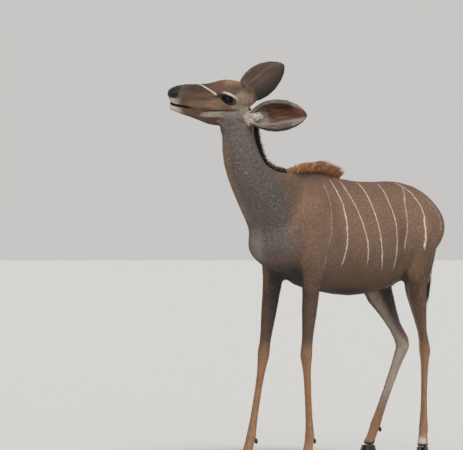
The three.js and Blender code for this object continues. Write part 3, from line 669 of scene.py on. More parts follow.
def joined_flesh():
    """Every part of flesh, the roots of the ears, the eyeballs and the tail's dock in one loose mesh."""
    bm = bmesh.new()
    for name in FLESH:
        copy_node(bm, name, FLESH_OVERLAP)
    for ear in EARS.values():
        length, face, width = ear_axes(ear)
        turn = Matrix((length, width, face)).transposed().to_4x4()
        centre = ear_root(ear) + SHIFT + face * EAR_FLESH_IN + length * EAR_FLESH_ALONG
        add_ball(bm, centre, 1, EAR_FLESH, turn)
    for turn in (1, -1):
        add_ball(bm, eye_frame(turn)[0] + SHIFT, EYE_RADIUS * EYE_SOCKET)
    for share in np.linspace(0, 1, 40):
        radius = (TAIL_ROOT_RADIUS - TAIL_TIP_RADIUS) * (1 - share) ** 0.7 + TAIL_TIP_RADIUS
        add_ball(bm, tail_point(share) + SHIFT, radius)
    return mesh_of(bm, "Skin")


def even_out(points, edges):
    """Takes the steps out of the joined flesh, most on the trunk and in the notch of the throat."""
    trunk = ramp(points[:, 2], 0.70, 0.86) * (1 - head_share(points))
    throat = np.exp(-((points[:, 2] - 0.955) / 0.050) ** 2) * ramp(points[:, 1], -0.66, -0.74)
    points = smooth(points, edges, np.full(len(points), 0.5), 14, 1.02)
    points = smooth(points, edges, 0.5 * trunk, 22)
    return smooth(points, edges, 0.6 * throat, 80)


def make_skin(size):
    """The skin: every part of flesh as one smooth surface, with the face pressed into it."""
    mesh = remeshed(joined_flesh(), size * 0.9)
    set_points(mesh, below_topline(points_of(mesh)))
    mesh = remeshed(mesh, size)
    points = even_out(points_of(mesh), edges_of(mesh))
    set_points(mesh, points)
    set_points(mesh, shape_body(points, normals_of(mesh)))
    refine(mesh, lambda place: head_share(place) > 0.2)
    refine(mesh, lambda place: (head_share(place) > 0.5) & fine_zone(place))
    edges, points = edges_of(mesh), points_of(mesh)
    points = smooth(points, edges, 0.5 * head_share(points), 8, 1.02)
    points = shape_face(shape_eyes(points))
    points = smooth(points, edges, 0.35 * head_share(points), 2, 1.0)
    set_points(mesh, points)
    set_points(mesh, points - normals_of(mesh) * coat_depth(points)[:, None])
    return shaded_smooth(mesh)


def fine_zone(points):
    """The muzzle and the lids, where the skin needs its finest faces."""
    back = head_coordinates(points)[:, 0]
    near_eye = np.zeros(len(points), dtype=bool)
    for turn in (1, -1):
        near_eye |= np.linalg.norm(points - np.array(eye_frame(turn)[0]), axis=1) < 0.036
    return (back < 0.115) | near_eye


def refine(mesh, chosen):
    """Halves the faces of a mesh in a chosen zone."""
    inside = chosen(points_of(mesh))
    bm = bmesh.new()
    bm.from_mesh(mesh)
    bm.verts.ensure_lookup_table()
    edges = [edge for edge in bm.edges if inside[edge.verts[0].index] and inside[edge.verts[1].index]]
    bmesh.ops.subdivide_edges(bm, edges=edges, cuts=1, use_grid_fill=True, smooth=0.0)
    bm.to_mesh(mesh)
    bm.free()


def unwrap(piece):
    """Lays the skin's surface out flat, as the map that the coat's patches are placed on."""
    bpy.context.view_layer.objects.active = piece
    piece.select_set(True)
    bpy.ops.object.mode_set(mode="EDIT")
    bpy.ops.mesh.select_all(action="SELECT")
    bpy.ops.uv.smart_project(angle_limit=math.radians(66), island_margin=0.002)
    bpy.ops.object.mode_set(mode="OBJECT")
    piece.select_set(False)
    piece.data.uv_layers[0].name = "OFBake"


# Ears


def ear_axes(ear):
    """The way an ear points, the way its cup opens, and the way across it."""
    length = head_way(*ear["along"])
    face = head_way(*ear["open"])
    face = (face - length * face.dot(length)).normalized()
    return length, face, length.cross(face)


def ear_root(ear):
    """The middle of an ear's root, before the model's shift."""
    return head_place(EAR_ROOT[0], ear["turn"] * EAR_ROOT[1], ear["rise"])


def ear_point(ear, share, turn, lift=0.0):
    """A place on an ear's back: share of its length, turn from edge to edge, and lift off it."""
    length, face, width = ear_axes(ear)
    shares, radii, halves = zip(*EAR_SECTIONS)
    radius = np.interp(share, shares, radii)
    half = math.radians(np.interp(share, shares, halves))
    centre = ear_root(ear) + length * (share * EAR_LENGTH) + face * radius
    angle = half * turn
    out = radius - lift
    return centre + width * (out * math.sin(angle)) - face * (out * math.cos(angle))


def ear_points(ear, shares, turns, lifts):
    """Many places on an ear's back, in rows."""
    return np.array([ear_point(ear, *place) for place in zip(shares, turns, lifts)])


def make_ear(ear):
    """One ear: a leaf-shaped cup with a thin wall."""
    bm = bmesh.new()
    rows, columns = 72, 44
    bmesh.ops.create_grid(bm, x_segments=columns, y_segments=rows, size=1)
    grid = {vert: (vert.co.x, (vert.co.y + 1) / 2) for vert in bm.verts}
    for vert, (turn, share) in grid.items():
        ripple = EAR_RIPPLE * math.sin(9 * turn) * math.sin(math.pi * share)
        vert.co = ear_point(ear, share, turn, 0.0006 + ripple) + SHIFT
    bmesh.ops.recalc_face_normals(bm, faces=bm.faces)
    face = ear_axes(ear)[1]
    if sum(f.normal.dot(face) for f in bm.faces) < 0:
        bmesh.ops.reverse_faces(bm, faces=bm.faces)
    bmesh.ops.solidify(bm, geom=bm.faces, thickness=EAR_WALL)
    bmesh.ops.recalc_face_normals(bm, faces=bm.faces)
    return shaded_smooth(mesh_of(bm, "Ear"))


# Eyes and lids


def make_eye(turn):
    """One eyeball, clear and round."""
    bm = bmesh.new()
    centre = eye_frame(turn)[0]
    bmesh.ops.create_uvsphere(bm, u_segments=48, v_segments=32, radius=EYE_RADIUS,
                              matrix=Matrix.Translation(centre + SHIFT))
    return shaded_smooth(mesh_of(bm, "Eye"))


def make_lids(turn):
    """The rims of both lids as one almond ring that lies on the eyeball."""
    centre, along, rise, look = eye_frame(turn)
    bm = bmesh.new()
    around, across = 96, 8
    bmesh.ops.create_grid(bm, x_segments=around, y_segments=across, size=1)
    for vert in bm.verts:
        angle = math.pi * vert.co.x
        share = (vert.co.y + 1) / 2
        away = almond(angle) + LID_WIDTH * share
        lift = 0.0004 + 0.0026 * math.sin(math.pi * min(share * 1.15, 1)) ** 0.7 - 0.0012 * share
        way = along * math.cos(angle) + rise * math.sin(angle)
        vert.co = centre + SHIFT + (look * math.cos(away) + way * math.sin(away)) * (EYE_RADIUS + lift)
    bmesh.ops.remove_doubles(bm, verts=bm.verts, dist=0.00002)
    bmesh.ops.solidify(bm, geom=bm.faces, thickness=LID_WALL)
    bmesh.ops.recalc_face_normals(bm, faces=bm.faces)
    return shaded_smooth(mesh_of(bm, "Lids"))


# Hooves


def make_hooves(leg):
    """Both claws and both dew claws of one foot, rounded, with their soles on the ground."""
    bm = bmesh.new()
    for claw in CLAWS:
        copy_node(bm, f"{leg}_{claw}", 0.0)
    mesh = remeshed(mesh_of(bm, "Hooves"), HOOF_FACE)
    edges, points = edges_of(mesh), points_of(mesh)
    low = points[:, 2] < 0.0016
    points = smooth(points, edges, np.full(len(points), 0.5), 10, 1.0)
    points[low, 2] = np.minimum(points[low, 2], 0.0004)
    points[:, 2] = np.maximum(points[:, 2], 0)
    set_points(mesh, points)
    return shaded_smooth(mesh)


# Coat and long hair


class Surface:
    """Random places on a skin, with their normals and their places on its flat map."""

    def __init__(self, piece):
        mesh = piece.data
        mesh.calc_loop_triangles()
        count = len(mesh.loop_triangles)
        corners = np.empty(count * 3, dtype=np.int32)
        loops = np.empty(count * 3, dtype=np.int32)
        mesh.loop_triangles.foreach_get("vertices", corners)
        mesh.loop_triangles.foreach_get("loops", loops)
        self.corners = corners.reshape(-1, 3)
        self.loops = loops.reshape(-1, 3)
        self.points = points_of(mesh)
        self.normals = normals_of(mesh)
        flat = np.empty(len(mesh.loops) * 2, dtype=np.float32)
        mesh.uv_layers[0].data.foreach_get("uv", flat)
        self.flat = flat.reshape(-1, 2).astype(np.float64)
        a, b, c = (self.points[self.corners[:, k]] for k in range(3))
        self.area = np.linalg.norm(np.cross(b - a, c - a), axis=1) / 2
        self.centres = (a + b + c) / 3

    def scatter(self, count, wanted, draw):
        """Places, normals and map places of roots spread by area times how much each spot is wanted."""
        weight = self.area * wanted(self.centres)
        chosen = draw.choice(len(weight), count, p=weight / weight.sum())
        share = draw.random((count, 2))
        fold = share.sum(axis=1) > 1
        share[fold] = 1 - share[fold]
        share = np.column_stack([1 - share.sum(axis=1), share])[:, :, None]
        corners, loops = self.corners[chosen], self.loops[chosen]
        place = (self.points[corners] * share).sum(axis=1)
        normal = unit((self.normals[corners] * share).sum(axis=1))
        return place, normal, (self.flat[loops] * share).sum(axis=1)


def unit(rows):
    """Rows of vectors, each one metre long."""
    return rows / (np.linalg.norm(rows, axis=1)[:, None] + 1e-12)


def wave(points, scale, seed):
    """A slow wander between -1 and 1 over the body, for partings in the coat."""
    phase = np.array([[1.7, 2.9, 0.6], [-2.3, 1.1, 1.9], [0.8, -1.6, 2.4]]) * scale
    return np.sin(points @ phase.T + seed * np.array([1.0, 2.2, 3.7])).mean(axis=1)


def lie_of_coat(points, normals):
    """The way the short coat lies: back along the body, down the legs, down and back on the neck."""
    height, length = points[:, 2], points[:, 1]
    head = head_share(points)[:, None]
    leg = ramp(height, 0.86, 0.66)[:, None] * (1 - head)
    neck = (ramp(length, -0.50, -0.66) * ramp(height, 0.9, 1.0))[:, None] * (1 - head)
    body_way = np.array([0, 0.92, -0.34])
    neck_way = np.array([0, 0.36, -0.93])
    leg_way = np.array([0, 0.10, -1.0])
    head_back_way = np.array(HEAD_BACK) * 0.95 - np.array(HEAD_UP) * 0.25
    way = body_way * (1 - neck) + neck_way * neck
    way = way * (1 - leg) + leg_way * leg
    way = way * (1 - head) + head_back_way * head
    side = np.cross(way, normals)
    way = way + side * 0.12 * wave(points, 14, 3)[:, None]
    return unit(way - normals * (way * normals).sum(axis=1)[:, None])


def hair_mesh(name, rings, flat, lot):
    """A mesh of many closed tapering strands.

    rings holds, for each strand, its rings of four corners and a tip: strands x (4 n + 1) x 3.
    flat is each root's place on the skin's map and lot is a number per strand for its tint.
    """
    corners = rings.shape[1]
    loops = (corners - 1) // 4
    faces = []
    for r in range(loops - 1):
        for k in range(4):
            a, b = 4 * r + k, 4 * r + (k + 1) % 4
            faces += [(a, b, b + 4), (a, b + 4, a + 4)]
    end = 4 * (loops - 1)
    faces += [(end + k, end + (k + 1) % 4, corners - 1) for k in range(4)]
    faces += [(0, 2, 1), (0, 3, 2)]
    tips = np.append(np.repeat(np.arange(loops) / loops, 4), 1.0)
    return strands_mesh(name, rings, np.array(faces), flat, lot, tips)


def strands_mesh(name, corners, faces, flat, lot, tips):
    """One mesh of many copies of a strand's faces, with its bake map and its tint per strand."""
    strands, count = corners.shape[:2]
    index = (faces[None] + count * np.arange(strands)[:, None, None]).reshape(-1, 3)
    mesh = bpy.data.meshes.new(name)
    mesh.vertices.add(strands * count)
    mesh.vertices.foreach_set("co", (corners + np.array(SHIFT)).reshape(-1).astype(np.float32))
    mesh.loops.add(index.size)
    mesh.loops.foreach_set("vertex_index", index.ravel().astype(np.int32))
    mesh.polygons.add(len(index))
    mesh.polygons.foreach_set("loop_start", np.arange(0, index.size, 3, dtype=np.int32))
    mesh.polygons.foreach_set("loop_total", np.full(len(index), 3, dtype=np.int32))
    mesh.update(calc_edges=True)
    around = np.linspace(0, 2 * math.pi, count, endpoint=False)
    patch = BAKE_PATCH / 2 * np.column_stack([np.cos(around), np.sin(around)])
    layout = (flat[:, None] + patch[None]).reshape(-1, 2)[index.ravel()]
    layer = mesh.uv_layers.new(name="OFBake")
    layer.data.foreach_set("uv", layout.ravel().astype(np.float32))
    tint = mesh.attributes.new("lot", "FLOAT", "POINT")
    tint.data.foreach_set("value", np.repeat(lot, count).astype(np.float32))
    share = mesh.attributes.new("tip", "FLOAT", "POINT")
    share.data.foreach_set("value", np.tile(tips, strands).astype(np.float32))
    return mesh


def strands(place, stand, lie, length, width, thick, rings, sink, curl=0.0):
    """Corners of tapering strands that leave along stand, bend to lie and end in a point."""
    across = unit(np.cross(stand, lie) + 1e-6)
    at = place - stand * sink[:, None]
    whole = length + sink
    made = []
    for step in range(rings + 1):
        share = step / rings
        way = unit(stand * (1 - share) + lie * share + across * (curl * math.sin(3 * share)))
        if step:
            at = at + way * (whole / rings)[:, None]
        if step == rings:
            made.append(at[:, None])
            break
        out = unit(np.cross(across, way))
        taper = 1 - 0.75 * share ** 1.4
        half, deep = (width * taper / 2)[:, None], (thick * taper / 2)[:, None]
        made.append(np.stack([at + across * half, at + out * deep, at - across * half, at - out * deep], 1))
    return np.concatenate(made, axis=1)


def make_tufts(name, surface, count, wanted, length, width, seed):
    """Short fur as closed slivers that lie along the coat, each a tip, a raised ridge and a root."""
    draw = np.random.default_rng(seed)
    place, normal, flat = surface.scatter(count, wanted, draw)
    way = lie_of_coat(place, normal)
    side = np.cross(normal, way)
    way = unit(way + side * draw.normal(0, 0.13, count)[:, None])
    side = np.cross(normal, way)
    depth = coat_depth(place)[:, None]
    size = (0.75 + 0.5 * draw.random(count))[:, None] * (depth / COAT_THICKNESS) ** 0.55
    long, half = length * size, width * size / 2
    root = place - normal * 0.0006
    left, right = root - side * half, root + side * half
    ridge = place + way * long * 0.42 + normal * depth * 0.30
    tip = place + way * long + normal * depth * (0.38 + 0.3 * draw.random(count))[:, None]
    corners = np.stack([left, right, ridge, tip], axis=1)
    faces = np.array([(0, 2, 1), (0, 3, 2), (1, 2, 3), (0, 1, 3)])
    tips = np.array([0.0, 0.0, 0.45, 1.0])
    return strands_mesh(name, corners, faces, flat, draw.random(count), tips)


def tail_point(share):
    """A place down the middle of the tail's dock."""
    stops = np.linspace(0, 1, len(TAIL_LINE))
    return Vector([np.interp(share, stops, column) for column in zip(*TAIL_LINE)])


def top_place(share, start, end):
    """Places on the line of neck and back between two of its entries, and how the neck turns there."""
    line = np.array(TOPLINE[start:end + 1])
    steps = np.r_[0, np.cumsum(np.linalg.norm(np.diff(line[:, :3], axis=0), axis=1))]
    return np.column_stack([np.interp(share, steps / steps[-1], column) for column in line.T])


def top_frame(share, start, end):
    """Places on the topline, the way along it towards the tail, the way up out of it and across."""
    place = top_place(share, start, end)
    ahead = unit((top_place(np.clip(share + 0.04, 0, 1), start, end)
                  - top_place(np.clip(share - 0.04, 0, 1), start, end))[:, :3])
    side = across_way(place[:, 3])
    upward = unit(np.cross(side, ahead))
    upward *= np.sign(upward[:, 2:3] + upward[:, 1:2])
    return place[:, :3], ahead, upward, side


def nearest_flat(surface, place):
    """The map place of the skin's nearest corner, for locks that aren't scattered."""
    tree = BVHTree.FromPolygons([tuple(p) for p in surface.points], surface.corners.tolist())
    found = [tree.find_nearest(Vector(p))[2] for p in place]
    return surface.flat[surface.loops[found, 0]]


def make_mane(surface, count, length, seed):
    """The short upright mane along the nape, from the ears to the withers."""
    draw = np.random.default_rng(seed)
    share = draw.random(count)
    place, ahead, upward, side = top_frame(share, 0, 8)
    across = draw.normal(0, 0.0065, count)[:, None]
    place = place + side * across - upward * 0.006
    stand = unit(upward + side * (across * 26 + draw.normal(0, 0.10, (count, 1))) + ahead * 0.35)
    lie = unit(upward * 0.75 + ahead * 1.0 + side * draw.normal(0, 0.25, (count, 1)))
    swell = 0.55 + 0.45 * np.sin(math.pi * np.clip(share * 0.9 + 0.08, 0, 1))
    long = length * swell * (0.6 + 0.55 * draw.random(count))
    wide = 0.0034 * (0.7 + 0.6 * draw.random(count))
    corners = strands(place, stand, lie, long, wide, wide * 0.45, 3, np.full(count, 0.004), 0.1)
    return hair_mesh("Mane", corners, nearest_flat(surface, place), draw.random(count))


def make_crest(surface, count, length, seed):
    """The taller crest of hair over the withers, standing and swept back."""
    draw = np.random.default_rng(seed)
    share = draw.random(count)
    place, ahead, upward, side = top_frame(share, 8, 11)
    across = draw.normal(0, 0.010, count)[:, None]
    place = place + side * across - upward * (0.005 + across ** 2 * 9)
    stand = unit(upward + side * (across * 16 + draw.normal(0, 0.12, (count, 1))) + ahead * 0.30)
    lie = unit(upward * 0.40 + ahead * 1.0 + side * draw.normal(0, 0.22, (count, 1)))
    swell = np.interp(share, [0, 0.3, 0.65, 0.88, 1], [0.22, 0.60, 1.0, 0.95, 0.6])
    long = length * swell * (0.6 + 0.5 * draw.random(count))
    wide = 0.0040 * (0.7 + 0.6 * draw.random(count))
    corners = strands(place, stand, lie, long, wide, wide * 0.45, 4, np.full(count, 0.004), 0.1)
    return hair_mesh("Crest", corners, nearest_flat(surface, place), draw.random(count))


def make_tail_hair(surface, count, seed):
    """The tail's long hair, fuller and longer to its tip."""
    draw = np.random.default_rng(seed)
    share = 0.12 + 0.88 * draw.random(count) ** 0.8
    place = np.array([tail_point(value) for value in share])
    turn = draw.random(count) * 2 * math.pi
    outward = np.column_stack([np.sin(turn), np.cos(turn), np.zeros(count)])
    place = place + outward * (0.018 * (1 - share) ** 0.7 + 0.004)[:, None]
    down = np.array([[0, -0.30, -1.0]])
    stand = unit(outward * 0.45 + down)
    lie = unit(down - outward * 0.10 + draw.normal(0, 0.05, (count, 3)))
    long = (0.035 + 0.075 * share) * (0.75 + 0.4 * draw.random(count))
    wide = 0.0047 * (0.7 + 0.6 * draw.random(count))
    corners = strands(place, stand, lie, long, wide, wide * 0.45, 4, np.full(count, 0.003), 0.15)
    return hair_mesh("Tail hair", corners, nearest_flat(surface, place), draw.random(count))


def make_ear_fringe(ear, surface, count, seed):
    """Fine hair of one ear: short on its back and rim, long and pale inside near the head."""
    draw = np.random.default_rng(seed)
    kind = draw.random(count)
    share = 0.04 + 0.95 * draw.random(count)
    turn = np.where(kind < 0.30, np.sign(draw.random(count) - 0.5) * 0.985, draw.uniform(-0.97, 0.97, count))
    inner = kind > 0.62
    share = np.where(inner, 0.03 + 0.72 * draw.random(count) ** 1.3, share)
    turn = np.where(inner, np.sign(turn) * (0.40 + 0.56 * np.abs(turn)), turn)
    lift = np.where(inner, 0.0024, -0.0002)
    place = ear_points(ear, share, turn, lift)
    ahead = unit(ear_points(ear, np.minimum(share + 0.01, 1), turn, lift)
                 - ear_points(ear, np.maximum(share - 0.01, 0), turn, lift))
    inward = unit(ear_points(ear, share, turn, np.full(count, 0.02)) - place)
    outward = np.where(inner[:, None], inward, -inward)
    edge = (kind < 0.30)[:, None]
    stand = unit(outward * 0.45 + ahead * 0.8 + inward * edge * 0.3)
    lie = unit(ahead + inward * np.where(inner, 0.25, 0.02)[:, None] + draw.normal(0, 0.12, (count, 3)))
    long = np.where(inner, 0.020 * (1.25 - share), 0.0075) * (0.7 + 0.6 * draw.random(count))
    wide = np.where(inner, 0.0016, 0.0021) * (0.7 + 0.6 * draw.random(count))
    corners = strands(place, stand, lie, long, wide, wide * 0.4, 2, np.full(count, 0.0008))
    return hair_mesh("Ear hair", corners, nearest_flat(surface, place), draw.random(count))


# Materials


def stripe_value(shade):
    """How white the stripes of the flanks make a spot."""
    flank = abs(shade.x).rise(0.022, 0.040)
    wander = (shade.grain(7, 1.0) - 0.5) * 0.016
    rough = (shade.grain(70, 2.0) - 0.5) * 0.010
    lean = shade.x.rise(0.05, -0.05) * 0.018
    total = None
    for top_y, top_z, mid_y, mid_z, low_y, low_z, strength in STRIPES:
        height = (shade.z - low_z) / (top_z - low_z)
        share = (mid_z - low_z) / (top_z - low_z)
        bend = (mid_y - low_y - share * (top_y - low_y)) / (share * (share - 1))
        line = low_y + height * (top_y - low_y) + height * (height - 1) * bend
        off = abs(shade.y - line + wander + rough + lean)
        band = off.rise(0.0056, 0.0022)
        ends = height.rise(-0.04, 0.10) * height.rise(1.06, 0.98)
        value = band * ends * strength
        total = value if total is None else total.most(value)
    return total * flank


def patch(*axes):
    """A soft round patch, 1 inside and 0 outside; each axis is a value, its middle and its reach."""
    total = 0.0
    for value, place, reach in axes:
        offset = (value - place) / reach
        total = offset * offset + total
    return total.rise(1.7, 0.4)


def zone(shade, centre, radii):
    """A soft round patch of both sides of the head, in its own coordinates."""
    return patch(*zip((shade.back, abs(shade.side), shade.up), centre, radii))


def lay_patches(shade, colour, patches):
    """Lays soft round patches of colour over a colour."""
    for name, centre, radii, strength in patches:
        colour = shade.mix(colour, getattr(shade.tints, name), zone(shade, centre, radii) * strength)
    return colour


def face_colour(shade):
    """The brown of forehead, cheeks and temples in fine streaks, and the dark bridge of the nose."""
    tints, back, side, up = shade.tints, shade.back, abs(shade.side), shade.up
    colour = shade.mix(tints.face, tints.forehead, up.rise(0.000, 0.030) * back.rise(0.12, 0.20))
    colour = shade.mix(colour, tints.cheek, up.rise(0.034, 0.056) * back.rise(0.20, 0.24) * 0.8)
    colour = lay_patches(shade, colour, FACE_PATCHES)
    lines = shade.streaks(back * 22, side * 70, (up + back * 0.1) * 150, 3.0)
    colour = shade.tint(colour, 0.62 + lines * 0.76)
    colour = shade.mix(colour, tints.bridge, up.rise(0.002, 0.022) * back.rise(0.21, 0.12))
    return shade.mix(colour, tints.grey_brown, back.rise(0.09, 0.04) * up.rise(-0.035, -0.01) * 0.7)


def jaw_marks(shade, colour):
    """The pale bands of the jaw and painted shade in the fold above them."""
    tints, back = shade.tints, shade.back
    below = shade.up - (back - 0.15) * 0.14
    colour = shade.mix(colour, tints.jaw_grey, patch((back, 0.200, 0.062), (below, -0.080, 0.013)) * 0.85)
    colour = shade.mix(colour, tints.jaw_grey, patch((back, 0.250, 0.045), (below, -0.112, 0.012)) * 0.45)
    # Painted shade along the fold above the lower jaw
    fold = abs(below + 0.064).rise(0.0062, 0.0020) * back.rise(0.13, 0.17) * back.rise(0.29, 0.26)
    return shade.mix(colour, tints.jaw_fold_shade, fold * 0.8)


def eye_marks(shade, colour):
    """The white bar before the eye, the pale brow and the dark ring of the lids."""
    tints, back, side, up = shade.tints, shade.back, abs(shade.side), shade.up
    chevron = abs(back - side * 1.45 - (0.036 - up) * 0.22 - 0.120).rise(0.0056, 0.0026)
    chevron = chevron * side.rise(0.050, 0.040) * up.rise(0.000, 0.010)
    colour = shade.mix(colour, tints.pale, chevron * 0.9)
    across, high = (back - 0.231) / 0.034, (up + 0.008 + (back - 0.231) * 0.30) / 0.020
    ring = (across * across + high * high).math("SQRT")
    brow = ring.rise(0.95, 1.10) * ring.rise(1.50, 1.28) * up.rise(-0.010, 0.000) * back.rise(0.200, 0.222)
    under = ring.rise(0.98, 1.08) * ring.rise(1.32, 1.18) * up.rise(-0.012, -0.018) * back.rise(0.242, 0.225)
    colour = shade.mix(colour, tints.pale, (brow * 0.85).most(under * 0.25) * side.rise(0.028, 0.036))
    corner = zone(shade, (0.196, 0.045, 0.002), (0.016, 0.03, 0.0050))
    return shade.mix(colour, tints.dark, (ring.rise(1.06, 0.92) * side.rise(0.02, 0.03)).most(corner) * 0.85)


def muzzle_marks(shade, colour):
    """Pale lips and chin, the dark line of the mouth and the black nose."""
    tints, back, side, up = shade.tints, shade.back, abs(shade.side), shade.up
    lip = (back + side * 0.3 + (up + 0.045) * 0.25 + shade.grain(90, 2.0) * 0.016).rise(0.078, 0.040)
    colour = shade.mix(colour, tints.pale, lip * up.rise(-0.004, -0.018) * 0.92)
    mouth = abs(up + 0.041 + back * 0.16).rise(0.0072, 0.0040)
    colour = shade.mix(colour, tints.dark, mouth * back.rise(0.100, 0.086))
    nose = (back + side * 0.25 - up * 0.3).rise(0.050, 0.026) * up.rise(-0.018, -0.010)
    return shade.mix(colour, tints.nose, nose)


def ear_base_marks(shade, colour):
    """Tan round the ears' roots, pale fluff before them and dark tufts between."""
    colour = lay_patches(shade, colour, EAR_BASE_PATCHES)
    fluff = zone(shade, (0.335, 0.085, -0.075), (0.040, 0.040, 0.034))
    colour = shade.mix(colour, shade.tints.pale, fluff * (shade.grain(60, 2.0) + 0.35).least(1))
    return lay_patches(shade, colour, CROWN_PATCHES)


def head_colour(shade):
    """Colours of the head, from its own coordinates."""
    colour = face_colour(shade)
    for marks in (jaw_marks, eye_marks, muzzle_marks, ear_base_marks):
        colour = marks(shade, colour)
    return colour


def trunk_colour(shade):
    """Brown flanks, darker above and below, a grey neck and painted shade behind the shoulder blade."""
    tints, y, z = shade.tints, shade.y, shade.z
    colour = shade.mix(tints.flank, tints.back, z.rise(1.06, 1.16))
    colour = shade.mix(colour, tints.flank_low, z.rise(0.95, 0.76))
    edge = y + z * 0.25 + (shade.grain(14, 2.0) - 0.5) * 0.10
    colour = shade.mix(colour, tints.neck, edge.rise(-0.30, -0.47) * z.rise(0.76, 0.90))
    # Painted shade: a darker band behind the shoulder blade, in the low flank's colour
    blade = abs(y + 0.372 + (z - 1.0) * 0.12).rise(0.055, 0.0) * z.rise(0.84, 0.92) * z.rise(1.13, 1.05)
    return shade.mix(colour, tints.flank_low, blade * 0.6)


def breast_marks(shade, colour):
    """The tan line of the throat and the paler breast."""
    tints, x, y, z = shade.tints, shade.x, shade.y, shade.z
    throat = abs(x + 0.030 + (z - 1.1).most(0) * 0.18).rise(0.036, 0.010) * y.rise(-0.745, -0.79)
    colour = shade.mix(colour, tints.throat, throat * z.rise(0.88, 0.98) * z.rise(1.34, 1.28) * 0.7)
    breast = abs(x + 0.012).rise(0.050, 0.008) * y.rise(-0.660, -0.735)
    breast = breast * z.rise(0.76, 0.82) * z.rise(1.0, 0.90)
    return shade.mix(colour, tints.pale, breast * (shade.grain(24, 3.0) * 0.5))


def belly_marks(shade, colour):
    """Painted shade in the fold of the flank, the darker belly, partly its own colour and partly painted
    shade, a painted shadow along its underside, and the pale crease of the elbow.
    """
    tints, x, y, z = shade.tints, shade.x, shade.y, shade.z
    # Painted shade in the hollow of the flank before the thigh
    fold = abs(y - 0.080 - (z - 0.9) * 0.1).rise(0.050, 0.0) * z.rise(0.74, 0.80) * z.rise(1.06, 0.92)
    colour = shade.mix(colour, tints.belly, fold * 0.6)
    # Darker belly: partly its own colour, partly painted shade under the trunk
    colour = shade.mix(colour, tints.belly, z.rise(0.80, 0.70) * y.rise(-0.55, -0.40) * y.rise(0.46, 0.30))
    # Painted shadow: a dark band along the underside of the belly
    belly_shadow = abs(x).rise(0.100, 0.060) * z.rise(0.735, 0.70) * y.rise(-0.60, -0.45) * y.rise(0.0, -0.15)
    colour = shade.mix(colour, tints.dark, belly_shadow * 0.8)
    elbow = abs(y + 0.432).rise(0.008, 0.002) * z.rise(0.74, 0.78) * z.rise(0.88, 0.82)
    return shade.mix(colour, tints.pale, elbow * abs(x).rise(0.09, 0.11) * 0.35)


def upper_leg_marks(shade, colour):
    """Dark forearms, brown thighs, the hind legs pale on the side that faces inwards, and painted shade on
    the inner side of hind legs and forelegs.
    """
    tints, x, y, z = shade.tints, shade.x, shade.y, shade.z
    colour = shade.mix(colour, tints.thigh, z.rise(1.0, 0.8) * y.rise(0.12, 0.26) * 0.6)
    right = x.rise(0.01, -0.01)
    centre = 0.098 + (z - 0.46).most(0) * 0.065 + (0.46 - z).most(0) * right * 0.09
    inner = (abs(x) - centre).rise(0.012, -0.004) * z.rise(0.84, 0.78) * y.rise(0.10, 0.14)
    left = x.rise(-0.01, 0.01)
    front = y - 0.206 + left * 0.052 - (0.73 - z) * (0.92 - left * 0.38)
    # Painted shade high on the inner side of the hind legs, towards the groin
    dark = front.rise(0.00, 0.035) * front.rise(0.13, 0.10).most(z.rise(0.68, 0.76))
    colour = shade.mix(colour, tints.inner_dark, inner * z.rise(0.46, 0.58) * dark * 0.9)
    pale = (front - (0.50 - z).most(0) * 0.4).rise(0.048, 0.005) * z.rise(0.10, 0.30) * z.rise(0.76, 0.71)
    pale = inner * pale
    colour = shade.mix(colour, tints.inner_pale, pale * 0.85)
    forearm = z.rise(0.78, 0.68) * z.rise(0.44, 0.54) * y.rise(-0.30, -0.42)
    colour = shade.mix(colour, tints.forearm, forearm * 0.8)
    # Painted shade on the inner side of the forelegs
    hidden_shade = abs(x).rise(0.090, 0.072) * z.rise(0.84, 0.78) * z.rise(0.52, 0.62) * y.rise(-0.41, -0.45)
    colour = shade.mix(colour, tints.inner_dark, hidden_shade * 0.9)
    return shade.mix(colour, tints.shank, z.rise(0.52, 0.42) * pale.rise(1.0, 0.0))


def foot_marks(shade, colour):
    """Tan lower legs, the white spot above a hind hoof and the dark hair at the claws."""
    tints, x, y, z = shade.tints, shade.x, shade.y, shade.z
    colour = shade.mix(colour, tints.shank_low, z.rise(0.30, 0.12) * 0.55)
    pastern = z.rise(0.100, 0.080) * z.rise(0.056, 0.070) * x.rise(0, 0.05) * y.rise(0.31, 0.29)
    colour = shade.mix(colour, tints.pale, pastern * y.rise(0.10, 0.20) * 0.7)
    return shade.mix(colour, tints.dark, z.rise(0.070, 0.056) * 0.8)


def back_marks(shade, colour):
    """White stripes, the dark line of nape and back, and a painted shadow at the foot of the crest over the
    withers.
    """
    tints, x, y, z = shade.tints, shade.x, shade.y, shade.z
    colour = shade.mix(colour, tints.stripe, stripe_value(shade))
    dorsal = abs(x).rise(0.013, 0.006) * z.rise(1.08, 1.12) * y.rise(-0.24, -0.16)
    # Painted shadow: a dark band at the foot of the crest over the withers
    shadow = abs(x).rise(0.050, 0.022) * z.rise(1.10, 1.14) * y.rise(-0.56, -0.50) * y.rise(-0.22, -0.28)
    colour = shade.mix(colour, tints.dark, dorsal.most(shadow) * 0.8)
    nape = abs(x + (z - 1.28).most(0) * 0.33).rise(0.024, 0.012)
    nape = nape * y.rise(-0.50, -0.56) * y.rise(-0.80, -0.77) * z.rise(1.16, 1.18)
    return shade.mix(colour, tints.dark, nape * 0.7)


def coat_colour(shade):
    """Colours of skin and short coat alike, so that both carry the same markings."""
    colour = trunk_colour(shade)
    for marks in (breast_marks, belly_marks, upper_leg_marks, foot_marks, back_marks):
        colour = marks(shade, colour)
    head = shade.z.rise(1.385, 1.430).most(shade.back.rise(0.235, 0.200) * shade.z.rise(1.32, 1.34))
    head = head.most(zone(shade, (0.350, 0.095, -0.075), (0.078, 0.050, 0.048)))
    return shade.mix(colour, head_colour(shade), head)


